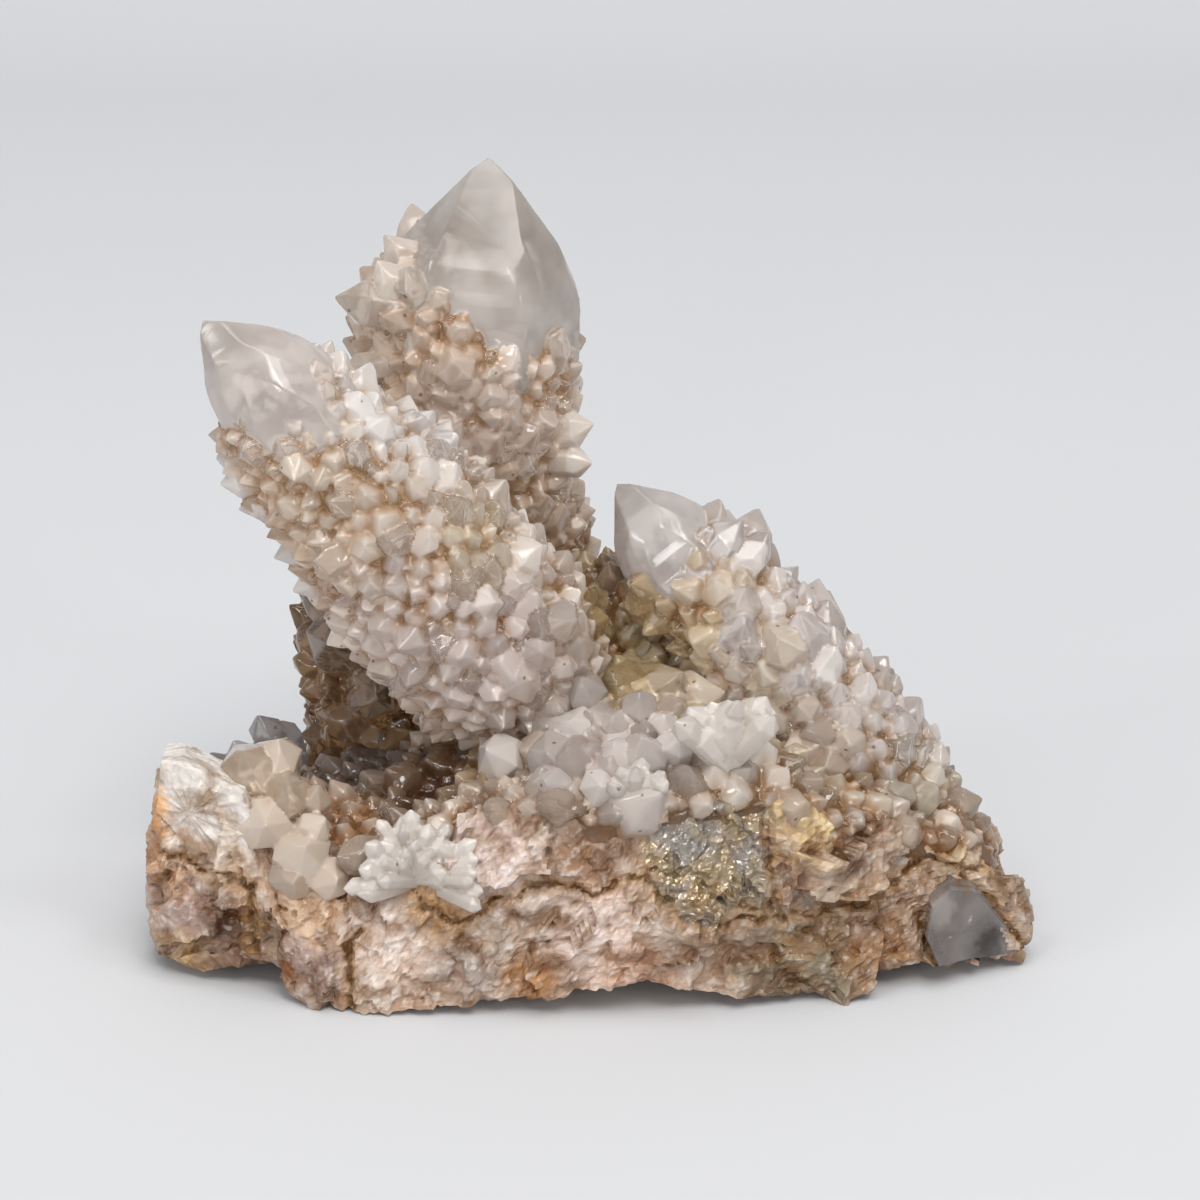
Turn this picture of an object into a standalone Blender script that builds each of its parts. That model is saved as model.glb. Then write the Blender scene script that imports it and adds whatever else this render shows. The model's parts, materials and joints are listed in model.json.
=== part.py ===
"""Cactus quartz cluster: four crusted quartz points grown together on one broken slab.

Each point is a six-sided quartz crystal whose prism is hidden under a crust of small
crystals, so that only its smooth tip stands free. The points root in a broken slab of
quartz, which has small crystals of its own and rests on one small flat spot. It all
grew as one piece, so it is one solid.

X runs along the slab, Y away from its broken front face, and Z up.
The origin is under the middle of the cluster, on the surface that it stands on.
All sizes below are in millimetres.
"""

import math
import random

import bmesh
import bpy
from mathutils import Vector, noise

MM = 0.001
SEED = 5
ROW_SHARE = math.sqrt(3) / 2
QUARTZ_COLOUR = (0.74, 0.68, 0.66, 1.0)
QUARTZ_ROUGHNESS = 0.35

# Quartz: a tip face leans this far from the crystal's own axis.
FACE_LEAN = math.radians(38.2)

# The crust round a point is rows of six-sided cells, each drawn out to a crystal's tip.
# A tip leans towards the point's own tip by this share of how far it stands proud, and
# what is between the cells wanders by this share of a cell and sinks by this depth.
DRUSE_LEAN = 0.45
DRUSE_WANDER = 0.17
DRUSE_SINK = 0.7
NO_ROOM = 0.9

# The crystals on the slab: the width of their cells, how far they stand proud, and how
# near to the slab's rim they come, as a share of the way out.
SLAB_CELL = 3.5
SLAB_STAND = (1.0, 2.5)
SLAB_DRUSE_REACH = 0.9
SLAB_DRUSE_ROOT = 8.0
SLAB_DRUSE_PROUD = 1.1
SLAB_CELLS_ACROSS = 13
SLAB_ROWS_BEHIND = 9

# The slab: the hub of its top, where the rings of its surface close, and its flat spot.
SLAB_HUB = Vector((0.0, 2.3))
FLAT_SPOT_CENTRE = Vector((-1.0, -0.6))
FLAT_SPOT_HALF = Vector((19.0, 12.0))
RIM_STEPS = 2
WALL_RINGS = (0.2, 0.42, 0.63, 0.83)
WALL_SWELL = 0.9
WALL_SHIFT = 0.09
TOP_RINGS = (0.14, 0.3, 0.46, 0.62, 0.8)
BROKEN_STEP = 1.5
BROKEN_BLOCK = 6.0
WORN = 0.9

# How rounded the mounds and hollows are, and how strongly each pulls on what is near.
MOUND_SOFTNESS = 2.0
MOUND_PULL = 1.45

# Round the slab from its left front corner: the lower edge, then the rim above it.
SLAB_EDGE = [
    ((-36.7, -12.2, 1.0), (-35.5, -11.7, 17.8)),
    ((-32.0, -15.7, 1.9), (-31.4, -14.3, 18.4)),
    ((-27.0, -17.7, 2.5), (-27.3, -16.0, 17.0)),
    ((-23.8, -18.7, 0.8), (-24.3, -17.1, 12.2)),
    ((-20.4, -20.2, 0.3), (-20.5, -17.9, 11.2)),
    ((-16.9, -21.1, 0.3), (-17.5, -18.1, 13.6)),
    ((-12.9, -21.3, 0.7), (-13.5, -18.3, 16.0)),
    ((-8.8, -21.5, 0.8), (-8.8, -19.3, 17.4)),
    ((-3.8, -21.5, 1.5), (-3.8, -20.1, 18.6)),
    ((1.1, -21.3, 2.6), (1.1, -20.5, 17.6)),
    ((5.3, -21.3, 2.7), (5.5, -20.1, 18.6)),
    ((10.0, -20.9, 1.2), (10.8, -19.3, 19.4)),
    ((16.8, -19.9, 0.3), (16.6, -18.1, 18.2)),
    ((21.9, -18.5, 0.5), (22.5, -15.7, 15.4)),
    ((27.0, -16.7, 1.7), (27.9, -13.3, 13.4)),
    ((32.3, -13.7, 1.3), (32.7, -11.1, 12.0)),
    ((37.1, -10.1, 0.6), (36.1, -8.1, 8.2)),
    ((36.1, -2.7, 1.0), (34.7, -2.3, 9.4)),
    ((32.7, 5.3, 0.6), (30.7, 4.7, 9.8)),
    ((26.1, 12.3, 0.8), (23.7, 10.9, 10.4)),
    ((17.1, 17.9, 0.4), (14.9, 16.3, 11.4)),
    ((5.1, 20.7, 0.8), (4.5, 19.1, 13.6)),
    ((-7.9, 21.1, 0.6), (-6.9, 19.9, 13.6)),
    ((-18.9, 19.7, 0.9), (-17.3, 18.5, 10.8)),
    ((-27.9, 15.3, 1.2), (-26.7, 14.1, 9.4)),
    ((-34.3, 6.3, 1.4), (-33.1, 6.3, 9.6)),
    ((-36.9, -3.2, 1.2), (-35.5, -3.5, 12.6)),
]

# The slab's top between its rim: places and heights of its hollows and mounds.
SLAB_TOP = [
    (-13.5, -9.7, 13.8),
    (-26.2, -10.7, 15.0),
    (-29.9, -6.7, 15.2),
    (-21.5, -0.7, 12.0),
    (-27.9, 7.3, 11.2),
    (-16.9, 10.3, 12.6),
    (-6.9, -3.7, 22.6),
    (-2.3, -8.7, 23.8),
    (-5.9, -13.7, 18.6),
    (-0.9, -15.3, 20.0),
    (4.4, -12.7, 22.8),
    (12.6, -12.3, 22.0),
    (4.4, -17.7, 19.6),
    (5.3, -6.7, 25.0),
    (4.5, 1.3, 26.6),
    (1.1, 6.3, 28.6),
    (-6.9, 15.3, 17.6),
    (9.1, 10.3, 18.6),
    (14.1, 2.3, 19.6),
    (22.0, -10.3, 17.4),
    (30.1, -5.7, 14.2),
    (24.1, 4.3, 12.8),
]

# The points. Rings down the crust are (distance from the root, offset to the right,
# radius), and a ring's depth is its radius times flat. Cells is how many crystals go
# round it, and stand is how far they stand proud. The core is the smooth crystal: for
# each of its six sides, the distance from its axis, and how far above the apex that
# side's tip face would pass, which makes the face a smaller one.
POINTS = [
    {
        "apex": (-31.1, -9.1, 56.0),
        "root": (-3.1, -3.9, 21.4),
        "core_axis": (-0.66, -0.12, 0.74),
        "flat": 0.92,
        "rings": [
            (-1.6, 0.0, 3.4),
            (0.8, 0.2, 5.9),
            (3.8, 0.3, 7.5),
            (8.0, -0.2, 8.3),
            (15.6, -0.3, 8.6),
            (21.4, 0.2, 8.2),
            (26.4, 0.3, 7.0),
            (30.8, 0.2, 6.2),
            (34.8, 0.0, 5.5),
            (37.0, 0.0, 4.8),
        ],
        "cells": 15,
        "stand": (0.8, 2.1),
        "core": [(4.9, 0.9), (4.6, 0.0), (4.8, 0.7), (4.7, 0.0), (4.6, 1.2), (4.9, 0.0)],
        "core_length": 20.0,
        "roll": 28.0,
    },
    {
        "apex": (-8.4, 12.3, 65.3),
        "root": (-5.5, 12.9, 18.6),
        "core_axis": (0.085, 0.02, 1.0),
        "flat": 0.98,
        "rings": [
            (0.0, 0.0, 6.4),
            (5.0, 0.0, 6.4),
            (11.0, 0.0, 6.1),
            (16.6, -0.5, 5.8),
            (19.4, -1.6, 6.6),
            (22.4, -2.4, 8.0),
            (26.5, -3.1, 8.8),
            (30.3, -2.8, 9.1),
            (34.3, -2.6, 8.8),
            (37.0, -3.6, 7.2),
            (39.4, -3.2, 4.4),
        ],
        "cells": 15,
        "stand": (0.8, 2.2),
        "core": [(8.2, 0.0), (7.6, 1.6), (6.4, 0.0), (8.2, 1.0), (7.8, 0.0), (6.6, 2.4)],
        "core_length": 20.0,
        "roll": -20.0,
    },
    {
        "apex": (2.5, -0.1, 39.7),
        "root": (25.7, -4.1, 11.2),
        "core_axis": (-0.62, 0.1, 0.76),
        "flat": 0.95,
        "rings": [
            (-3.0, 0.4, 4.4),
            (0.0, 0.6, 6.2),
            (5.0, 0.9, 6.5),
            (10.0, 0.9, 6.3),
            (16.0, 0.9, 5.9),
            (22.0, 0.8, 5.3),
            (27.0, 0.4, 4.8),
            (29.6, 0.2, 4.1),
        ],
        "cells": 12,
        "stand": (0.7, 1.9),
        "core": [(4.2, 0.7), (4.0, 0.0), (4.3, 0.5), (4.1, 0.0), (4.0, 0.9), (4.3, 0.0)],
        "core_length": 16.0,
        "roll": 24.0,
    },
    {
        "apex": (-22.7, 14.3, 34.6),
        "root": (-16.9, 10.7, 8.6),
        "core_axis": (-0.2, 0.12, 1.0),
        "flat": 0.95,
        "rings": [
            (0.0, 0.0, 6.6),
            (6.0, 0.0, 6.5),
            (11.0, 0.0, 6.2),
            (15.6, 0.0, 5.3),
            (20.0, 0.0, 3.2),
        ],
        "cells": 12,
        "stand": (0.8, 2.2),
        "core": [(3.5, 0.5), (3.4, 0.0), (3.6, 0.4), (3.4, 0.0), (3.6, 0.6), (3.4, 0.0)],
        "core_length": 12.0,
        "roll": 16.0,
    },
]


def clear_scene():
    for obj in list(bpy.data.objects):
        bpy.data.objects.remove(obj)


def quartz_material():
    material = bpy.data.materials.new("quartz")
    material.use_nodes = True
    shader = material.node_tree.nodes["Principled BSDF"]
    shader.inputs["Base Color"].default_value = QUARTZ_COLOUR
    shader.inputs["Roughness"].default_value = QUARTZ_ROUGHNESS
    shader.inputs["Metallic"].default_value = 0.0
    return material


def add_object(name, bm):
    """The bmesh, drawn in millimetres, as an object in metres."""
    bmesh.ops.recalc_face_normals(bm, faces=bm.faces)
    bmesh.ops.scale(bm, vec=(MM, MM, MM), verts=bm.verts)
    mesh = bpy.data.meshes.new(name)
    bm.to_mesh(mesh)
    bm.free()
    obj = bpy.data.objects.new(name, mesh)
    bpy.context.scene.collection.objects.link(obj)
    return obj


def grow_onto(slab, other):
    """Joins the other object's shells to the slab, in one solid."""
    other.hide_render = True
    other.display_type = "WIRE"
    union = slab.modifiers.new(other.name, "BOOLEAN")
    union.operation = "UNION"
    union.solver = "EXACT"
    union.use_self = True
    union.object = other


def directions(spec):
    """Across, depth and along: the point's own directions, along being root to apex."""
    along = (Vector(spec["apex"]) - Vector(spec["root"])).normalized()
    across = Vector((along.z, 0, -along.x)).normalized()
    depth = along.cross(across).normalized()
    return across, depth, along


def crust_at(spec, distance):
    """Middle and radius of the crust at a distance from the root."""
    across, _, along = directions(spec)
    rings = spec["rings"]
    distance = min(max(distance, rings[0][0]), rings[-1][0])
    for (near, near_offset, near_radius), (far, far_offset, far_radius) in zip(rings, rings[1:]):
        if distance <= far:
            share = (distance - near) / (far - near)
            offset = near_offset + share * (far_offset - near_offset)
            radius = near_radius + share * (far_radius - near_radius)
            break
    return Vector(spec["root"]) + along * distance + across * offset, radius


def outside_crust(spec, place):
    """Roughly how far a place is from the crust's surface; under 0 is inside it."""
    _, _, along = directions(spec)
    distance = (place - Vector(spec["root"])).dot(along)
    middle, radius = crust_at(spec, distance)
    return (place - middle).length - radius


def core_planes(spec):
    """Place and outward direction of each of the smooth crystal's faces."""
    axis = Vector(spec["core_axis"]).normalized()
    across = Vector((axis.z, 0, -axis.x)).normalized()
    front = across.cross(axis).normalized()
    apex = Vector(spec["apex"])
    planes = [(apex - axis * spec["core_length"], -axis)]
    for side, (distance, rise) in enumerate(spec["core"]):
        turn = math.radians(60 * side + spec["roll"])
        out = across * math.cos(turn) + front * math.sin(turn)
        planes.append((apex + out * distance, out))
        slope = out * math.cos(FACE_LEAN) + axis * math.sin(FACE_LEAN)
        planes.append((apex + axis * rise, slope))
    return planes


def in_core(spec, place):
    return all((place - on_face).dot(out) < 0 for on_face, out in core_planes(spec))


def add_core(bm, spec):
    """The smooth crystal, cut from a block by its faces."""
    core = bmesh.new()
    bmesh.ops.create_cube(core, size=4 * spec["core_length"])
    bmesh.ops.translate(core, vec=spec["apex"], verts=core.verts)
    for on_face, out in core_planes(spec):
        bmesh.ops.bisect_plane(
            core,
            geom=core.verts[:] + core.edges[:] + core.faces[:],
            plane_co=on_face,
            plane_no=out,
            clear_outer=True,
        )
        bmesh.ops.holes_fill(core, edges=core.edges)
    mesh = bpy.data.meshes.new("core")
    core.to_mesh(mesh)
    core.free()
    bm.from_mesh(mesh)
    bpy.data.meshes.remove(mesh)


def rows_down(spec):
    """Distances from the root of the lines between the crust's rows of cells."""
    end = spec["rings"][-1][0]
    lines = [spec["rings"][0][0]]
    while lines[-1] < end:
        _, radius = crust_at(spec, lines[-1])
        lines.append(lines[-1] + math.tau * radius / spec["cells"] * ROW_SHARE)
    fit = (end - lines[0]) / (lines[-1] - lines[0])
    return [lines[0] + (line - lines[0]) * fit for line in lines]


def add_crust(bm, spec, rng):
    """The crust round a point: rows of six-sided cells, each drawn out to a tip."""
    across, depth, along = directions(spec)
    cells = spec["cells"]
    lines = rows_down(spec)

    def on_crust(distance, turn, proud):
        middle, radius = crust_at(spec, distance)
        out = across * math.cos(turn) + depth * math.sin(turn) * spec["flat"]
        return middle + out * radius + out.normalized() * proud

    def wander(size):
        return rng.uniform(-DRUSE_WANDER, DRUSE_WANDER) * size

    loops = []
    for line, distance in enumerate(lines):
        at_end = line in (0, len(lines) - 1)
        row = lines[1] - lines[0] if line == 0 else distance - lines[line - 1]
        loop = []
        for step in range(2 * cells):
            zigzag = 0 if at_end else row / 6 * (-1 if (step - line) % 2 == 0 else 1)
            turn = math.pi / cells * (step + (0 if at_end else wander(2)))
            place = distance + zigzag + (0 if at_end else wander(row))
            loop.append(bm.verts.new(on_crust(place, turn, -rng.random() * DRUSE_SINK)))
        loops.append(loop)
    others = [other for other in POINTS if other is not spec]
    for row, (low, high) in enumerate(zip(loops, loops[1:])):
        length = lines[row + 1] - lines[row]
        middle = (lines[row + 1] + lines[row]) / 2
        for cell in range(cells):
            step = 2 * cell + row % 2
            turn = math.pi / cells * (step + wander(2))
            stand = rng.uniform(*spec["stand"])
            foot = on_crust(middle, turn, 0)
            tip = on_crust(middle, turn, stand) + along * (stand * DRUSE_LEAN + wander(length))
            crowded = min(outside_crust(other, tip) for other in others) < NO_ROOM
            if crowded or in_core(spec, foot):
                tip = foot
            corners = [low[step - 1], low[step], low[(step + 1) % (2 * cells)]]
            corners += [high[(step + 1) % (2 * cells)], high[step], high[step - 1]]
            top = bm.verts.new(tip)
            for first, second in zip(corners, corners[1:] + corners[:1]):
                bm.faces.new((first, second, top))
    bm.faces.new(reversed(loops[0]))
    bm.faces.new(loops[-1])


def top_height(x, y):
    """Height of the slab's top, from the hollows, mounds and rim near the place."""
    total, weights = 0.0, 0.0
    for px, py, pz in SLAB_TOP + [rim for _, rim in SLAB_EDGE]:
        weight = ((x - px) ** 2 + (y - py) ** 2 + MOUND_SOFTNESS) ** -MOUND_PULL
        total += weight * pz
        weights += weight
    return total / weights


def smooth_ring(points):
    """A closed Catmull-Rom curve through the points, with RIM_STEPS to a stretch."""
    ring = []
    count = len(points)
    for i in range(count):
        before, start, end, after = (Vector(points[(i + k - 1) % count]) for k in range(4))
        for step in range(RIM_STEPS):
            t = step / RIM_STEPS
            bend = (2 * before - 5 * start + 4 * end - after) * t**2
            twist = (3 * start - before - 3 * end + after) * t**3
            ring.append((2 * start + (end - before) * t + bend + twist) / 2)
    return ring


def broken(place):
    """The place moved as a fracture does, in blocks that step in and out."""
    blocks = noise.cell_vector(place / BROKEN_BLOCK) - Vector((0.5, 0.5, 0.5))
    return place + blocks * BROKEN_STEP + noise.noise_vector(place * 0.35) * WORN


def on_flat_spot(place):
    """The place drawn in to the edge of the flat spot, below it."""
    away = Vector((place.x, place.y)) - FLAT_SPOT_CENTRE
    reach = math.hypot(away.x / FLAT_SPOT_HALF.x, away.y / FLAT_SPOT_HALF.y)
    spot = FLAT_SPOT_CENTRE + away / reach
    return Vector((spot.x, spot.y, 0))


def build_slab():
    """The broken slab: an underside, a rough side wall and a top of mounds."""
    low_edge = smooth_ring([low for low, _ in SLAB_EDGE])
    rim = smooth_ring([rim for _, rim in SLAB_EDGE])
    rings = [[on_flat_spot(place) for place in low_edge], low_edge]
    for share in WALL_RINGS:
        wall = []
        for low, high in zip(low_edge, rim):
            shift = noise.noise(low * 0.3 + high * share) * WALL_SHIFT
            place = low.lerp(high, share + shift)
            out = Vector((place.x, place.y, 0)).normalized()
            wall.append(broken(place + out * WALL_SWELL))
        rings.append(wall)
    rings.append([place + noise.noise_vector(place * 0.35) * WORN for place in rim])
    for share in TOP_RINGS:
        inner = []
        for place in rim:
            spot = Vector((place.x, place.y)).lerp(SLAB_HUB, share)
            height = top_height(spot.x, spot.y) - SLAB_DRUSE_PROUD
            inner.append(Vector((spot.x, spot.y, height)))
        rings.append(inner)
    bm = bmesh.new()
    loops = [[bm.verts.new(place) for place in ring] for ring in rings]
    hub = bm.verts.new((*SLAB_HUB, top_height(*SLAB_HUB) - SLAB_DRUSE_PROUD))
    count = len(low_edge)
    for i in range(count):
        after = (i + 1) % count
        for lower, upper in zip(loops, loops[1:]):
            bm.faces.new((lower[i], lower[after], upper[after], upper[i]))
        bm.faces.new((loops[-1][i], loops[-1][after], hub))
    bm.faces.new(reversed(loops[0]))
    return add_object("quartz_cluster", bm)


def share_to_rim(x, y):
    """How far out a place is between the hub (0) and the rim (1), or past it."""
    away = Vector((x, y)) - SLAB_HUB
    rim = [Vector(rim[:2]) - SLAB_HUB for _, rim in SLAB_EDGE]
    for a, b in zip(rim, rim[1:] + rim[:1]):
        span = a.x * b.y - a.y * b.x
        along_a = (away.x * b.y - away.y * b.x) / span
        along_b = (a.x * away.y - a.y * away.x) / span
        if along_a >= 0 and along_b >= 0:
            return along_a + along_b
    return 0.0


def slab_druse(rng):
    """The crystals on the slab: a sheet of six-sided cells, closed below in the slab."""
    corner_reach = SLAB_CELL / math.sqrt(3)
    bm = bmesh.new()
    corners = {}
    for row in range(-SLAB_ROWS_BEHIND, SLAB_ROWS_BEHIND + 1):
        for column in range(-SLAB_CELLS_ACROSS, SLAB_CELLS_ACROSS + 1):
            x = (column + 0.5 * (row % 2)) * SLAB_CELL
            y = row * SLAB_CELL * ROW_SHARE
            if share_to_rim(x, y) > SLAB_DRUSE_REACH:
                continue
            ring = []
            for side in range(6):
                turn = math.radians(60 * side + 30)
                corner_x = x + corner_reach * math.cos(turn)
                corner_y = y + corner_reach * math.sin(turn)
                key = (round(corner_x, 1), round(corner_y, 1))
                if key not in corners:
                    corner_x += rng.uniform(-DRUSE_WANDER, DRUSE_WANDER) * SLAB_CELL
                    corner_y += rng.uniform(-DRUSE_WANDER, DRUSE_WANDER) * SLAB_CELL
                    height = top_height(corner_x, corner_y) - rng.random() * DRUSE_SINK
                    corners[key] = bm.verts.new((corner_x, corner_y, height))
                ring.append(corners[key])
            stand = rng.uniform(*SLAB_STAND)
            place = Vector((x, y, top_height(x, y)))
            fall_x = top_height(x - 1, y) - top_height(x + 1, y)
            fall_y = top_height(x, y - 1) - top_height(x, y + 1)
            wobble_x, wobble_y = rng.uniform(-0.3, 0.3), rng.uniform(-0.3, 0.3)
            up = Vector((fall_x / 3 + wobble_x, fall_y / 3 + wobble_y, 1)).normalized()
            tip = bm.verts.new(place + up * stand)
            for first, second in zip(ring, ring[1:] + ring[:1]):
                bm.faces.new((first, second, tip))
    below = bmesh.ops.extrude_face_region(bm, geom=bm.faces[:])["geom"]
    for vert in below:
        if isinstance(vert, bmesh.types.BMVert):
            vert.co.z = SLAB_DRUSE_ROOT
    return add_object("slab_druse", bm)


def build_points(rng):
    bm = bmesh.new()
    for spec in POINTS:
        add_crust(bm, spec, rng)
        add_core(bm, spec)
    return add_object("points", bm)


clear_scene()
noise.seed_set(SEED)
rng = random.Random(SEED)
cluster = build_slab()
cluster.data.materials.append(quartz_material())
grow_onto(cluster, slab_druse(rng))
grow_onto(cluster, build_points(rng))
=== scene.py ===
"""A cactus quartz cluster: four quartz points under a crust of small crystals, on a broken slab.

Sizes and places are in millimetres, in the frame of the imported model, and each mesh is
scaled to metres when it is finished.
"""

import json
import math
import random

import bmesh
import bpy
import numpy as np
from mathutils import Matrix, Vector, noise
from mathutils.bvhtree import BVHTree

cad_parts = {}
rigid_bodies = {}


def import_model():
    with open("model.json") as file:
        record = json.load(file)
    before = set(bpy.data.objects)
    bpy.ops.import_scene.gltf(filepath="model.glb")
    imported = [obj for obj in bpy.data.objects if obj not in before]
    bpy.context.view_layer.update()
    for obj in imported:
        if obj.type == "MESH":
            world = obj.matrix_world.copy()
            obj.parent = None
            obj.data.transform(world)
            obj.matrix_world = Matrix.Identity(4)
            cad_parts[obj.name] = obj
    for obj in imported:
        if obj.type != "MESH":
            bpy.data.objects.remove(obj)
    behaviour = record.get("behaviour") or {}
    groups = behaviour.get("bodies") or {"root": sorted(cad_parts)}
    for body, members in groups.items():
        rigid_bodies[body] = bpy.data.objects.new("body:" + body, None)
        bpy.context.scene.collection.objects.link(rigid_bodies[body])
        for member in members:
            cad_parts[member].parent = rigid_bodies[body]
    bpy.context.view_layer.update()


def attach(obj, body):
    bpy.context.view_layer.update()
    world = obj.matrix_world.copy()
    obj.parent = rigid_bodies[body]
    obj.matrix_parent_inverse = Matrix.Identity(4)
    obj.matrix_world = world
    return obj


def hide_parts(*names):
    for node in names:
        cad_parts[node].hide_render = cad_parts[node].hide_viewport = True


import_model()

MM = 0.001
SEED = 5
noise.seed_set(SEED)


# The studio
# A pale sweep under soft light, seen as the photograph sees the cluster: from the front
# and a little above. Six small bright lamps give the crystal faces their glints.
LOOKED_AT = Vector((1.1, -0.7, 29.5))
CAMERA_DISTANCE = 300.0
CAMERA_ELEVATION = math.radians(18)
LENS = 105.3
SENSOR = 36.0
SWEEP_COLOUR = (0.63, 0.64, 0.66, 1)
SWEEP_HALF_WIDTH = 900.0
SWEEP_FRONT = -1400.0
SWEEP_BACK = 420.0
SWEEP_RADIUS = 260.0
SWEEP_HEIGHT = 800.0
SWEEP_STEPS = 16


def build_sweep():
    profile = [(SWEEP_FRONT, 0.0)]
    for step in range(SWEEP_STEPS + 1):
        turn = math.pi / 2 * step / SWEEP_STEPS
        profile.append((SWEEP_BACK + SWEEP_RADIUS * math.sin(turn), SWEEP_RADIUS * (1 - math.cos(turn))))
    profile.append((SWEEP_BACK + SWEEP_RADIUS, SWEEP_HEIGHT))
    verts = [(side * SWEEP_HALF_WIDTH * MM, y * MM, z * MM) for side in (-1, 1) for y, z in profile]
    count = len(profile)
    faces = [(i, i + count, i + count + 1, i + 1) for i in range(count - 1)]
    mesh = bpy.data.meshes.new("sweep")
    mesh.from_pydata(verts, [], faces)
    mesh.shade_smooth()
    sweep = bpy.data.objects.new("sweep", mesh)
    bpy.context.scene.collection.objects.link(sweep)
    paper = bpy.data.materials.new("pale_paper")
    paper.use_nodes = True
    shader = paper.node_tree.nodes["Principled BSDF"]
    shader.inputs["Base Color"].default_value = SWEEP_COLOUR
    shader.inputs["Roughness"].default_value = 0.9
    shader.inputs["Specular IOR Level"].default_value = 0.1
    mesh.materials.append(paper)


def add_lamp(name, place, size, power, colour):
    data = bpy.data.lights.new(name, "AREA")
    data.shape = "DISK"
    data.size = size * MM
    data.energy = power
    data.color = colour
    lamp = bpy.data.objects.new(name, data)
    lamp.location = Vector(place) * MM
    lamp.rotation_euler = (LOOKED_AT * MM - lamp.location).to_track_quat("-Z", "Y").to_euler()
    bpy.context.scene.collection.objects.link(lamp)


def add_camera():
    data = bpy.data.cameras.new("camera")
    data.lens = LENS
    data.sensor_width = SENSOR
    data.clip_start = 0.01
    data.clip_end = 10.0
    camera = bpy.data.objects.new("camera", data)
    away = Vector((0, -math.cos(CAMERA_ELEVATION), math.sin(CAMERA_ELEVATION)))
    camera.location = (LOOKED_AT + away * CAMERA_DISTANCE) * MM
    camera.rotation_euler = (-away).to_track_quat("-Z", "Y").to_euler()
    bpy.context.scene.collection.objects.link(camera)
    bpy.context.scene.camera = camera


build_sweep()
add_lamp("overhead", (350, -1000, 1450), 1000, 12.5, (1.0, 0.97, 0.935))
add_lamp("front_fill", (-1000, -1400, 450), 900, 4.4, (1.0, 0.98, 0.96))
add_lamp("backdrop", (0, -100, 1300), 700, 3.4, (1.0, 1.0, 1.0))
GLINTS = [
    (-420, -520, 900), (420, -260, 1000), (700, -900, 500), (-200, -1150, 350), (-900, -500, 600), (150, -800, 950),
]
for number, place in enumerate(GLINTS):
    add_lamp(f"glint_{number}", place, 190, 1.0, (1.0, 0.99, 0.97))
add_camera()
world = bpy.data.worlds.new("studio")
bpy.context.scene.world = world
world.use_nodes = True
world.node_tree.nodes["Background"].inputs["Color"].default_value = (0.97, 0.98, 1.0, 1)
world.node_tree.nodes["Background"].inputs["Strength"].default_value = 0.42
bpy.context.scene.view_settings.view_transform = "Standard"


# The broken slab
# Massive quartz that the points are rooted in, broken off its rock. Its front is a rough
# fracture, stained by iron in the seams, and its underside has one small flat spot.
SLAB_EDGE = [
    ((-36.7, -12.2, 1.0), (-35.5, -11.7, 17.8)),
    ((-32.0, -15.7, 1.9), (-31.4, -14.3, 18.4)),
    ((-27.0, -17.7, 2.5), (-27.3, -16.0, 17.0)),
    ((-23.8, -18.7, 0.8), (-24.3, -17.1, 12.2)),
    ((-20.4, -20.2, 0.3), (-20.5, -17.9, 11.2)),
    ((-16.9, -21.1, 0.3), (-17.5, -18.1, 13.6)),
    ((-12.9, -21.3, 0.7), (-13.5, -18.3, 16.0)),
    ((-8.8, -21.5, 0.8), (-8.8, -19.3, 17.4)),
    ((-3.8, -21.5, 1.5), (-3.8, -20.1, 18.6)),
    ((1.1, -21.3, 2.6), (1.1, -20.5, 17.6)),
    ((5.3, -21.3, 2.7), (5.5, -20.1, 18.6)),
    ((10.0, -20.9, 1.2), (10.8, -19.3, 19.4)),
    ((16.8, -19.9, 0.3), (16.6, -18.1, 18.2)),
    ((21.9, -18.5, 0.5), (22.5, -15.7, 15.4)),
    ((27.0, -16.7, 1.7), (27.9, -13.3, 13.4)),
    ((32.3, -13.7, 1.3), (32.7, -11.1, 12.0)),
    ((37.1, -10.1, 0.6), (36.1, -8.1, 8.2)),
    ((36.1, -2.7, 1.0), (34.7, -2.3, 9.4)),
    ((32.7, 5.3, 0.6), (30.7, 4.7, 9.8)),
    ((26.1, 12.3, 0.8), (23.7, 10.9, 10.4)),
    ((17.1, 17.9, 0.4), (14.9, 16.3, 11.4)),
    ((5.1, 20.7, 0.8), (4.5, 19.1, 13.6)),
    ((-7.9, 21.1, 0.6), (-6.9, 19.9, 13.6)),
    ((-18.9, 19.7, 0.9), (-17.3, 18.5, 10.8)),
    ((-27.9, 15.3, 1.2), (-26.7, 14.1, 9.4)),
    ((-34.3, 6.3, 1.4), (-33.1, 6.3, 9.6)),
    ((-36.9, -3.2, 1.2), (-35.5, -3.5, 12.6)),
]
SLAB_TOP = [
    (-13.5, -9.7, 13.8),
    (-26.2, -10.7, 15.0),
    (-29.9, -6.7, 15.2),
    (-21.5, -0.7, 12.0),
    (-27.9, 7.3, 11.2),
    (-16.9, 10.3, 12.6),
    (-6.9, -3.7, 22.6),
    (-2.3, -8.7, 23.8),
    (-5.9, -13.7, 18.6),
    (-0.9, -15.3, 20.0),
    (4.4, -12.7, 22.8),
    (12.6, -12.3, 22.0),
    (4.4, -17.7, 19.6),
    (5.3, -6.7, 25.0),
    (4.5, 1.3, 26.6),
    (1.1, 6.3, 28.6),
    (-6.9, 15.3, 17.6),
    (9.1, 10.3, 18.6),
    (14.1, 2.3, 19.6),
    (22.0, -10.3, 17.4),
    (30.1, -5.7, 14.2),
    (24.1, 4.3, 12.8),
]
SLAB_HUB = np.array((0.0, 2.3))
FLAT_SPOT_CENTRE = np.array((-1.0, -0.6))
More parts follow.
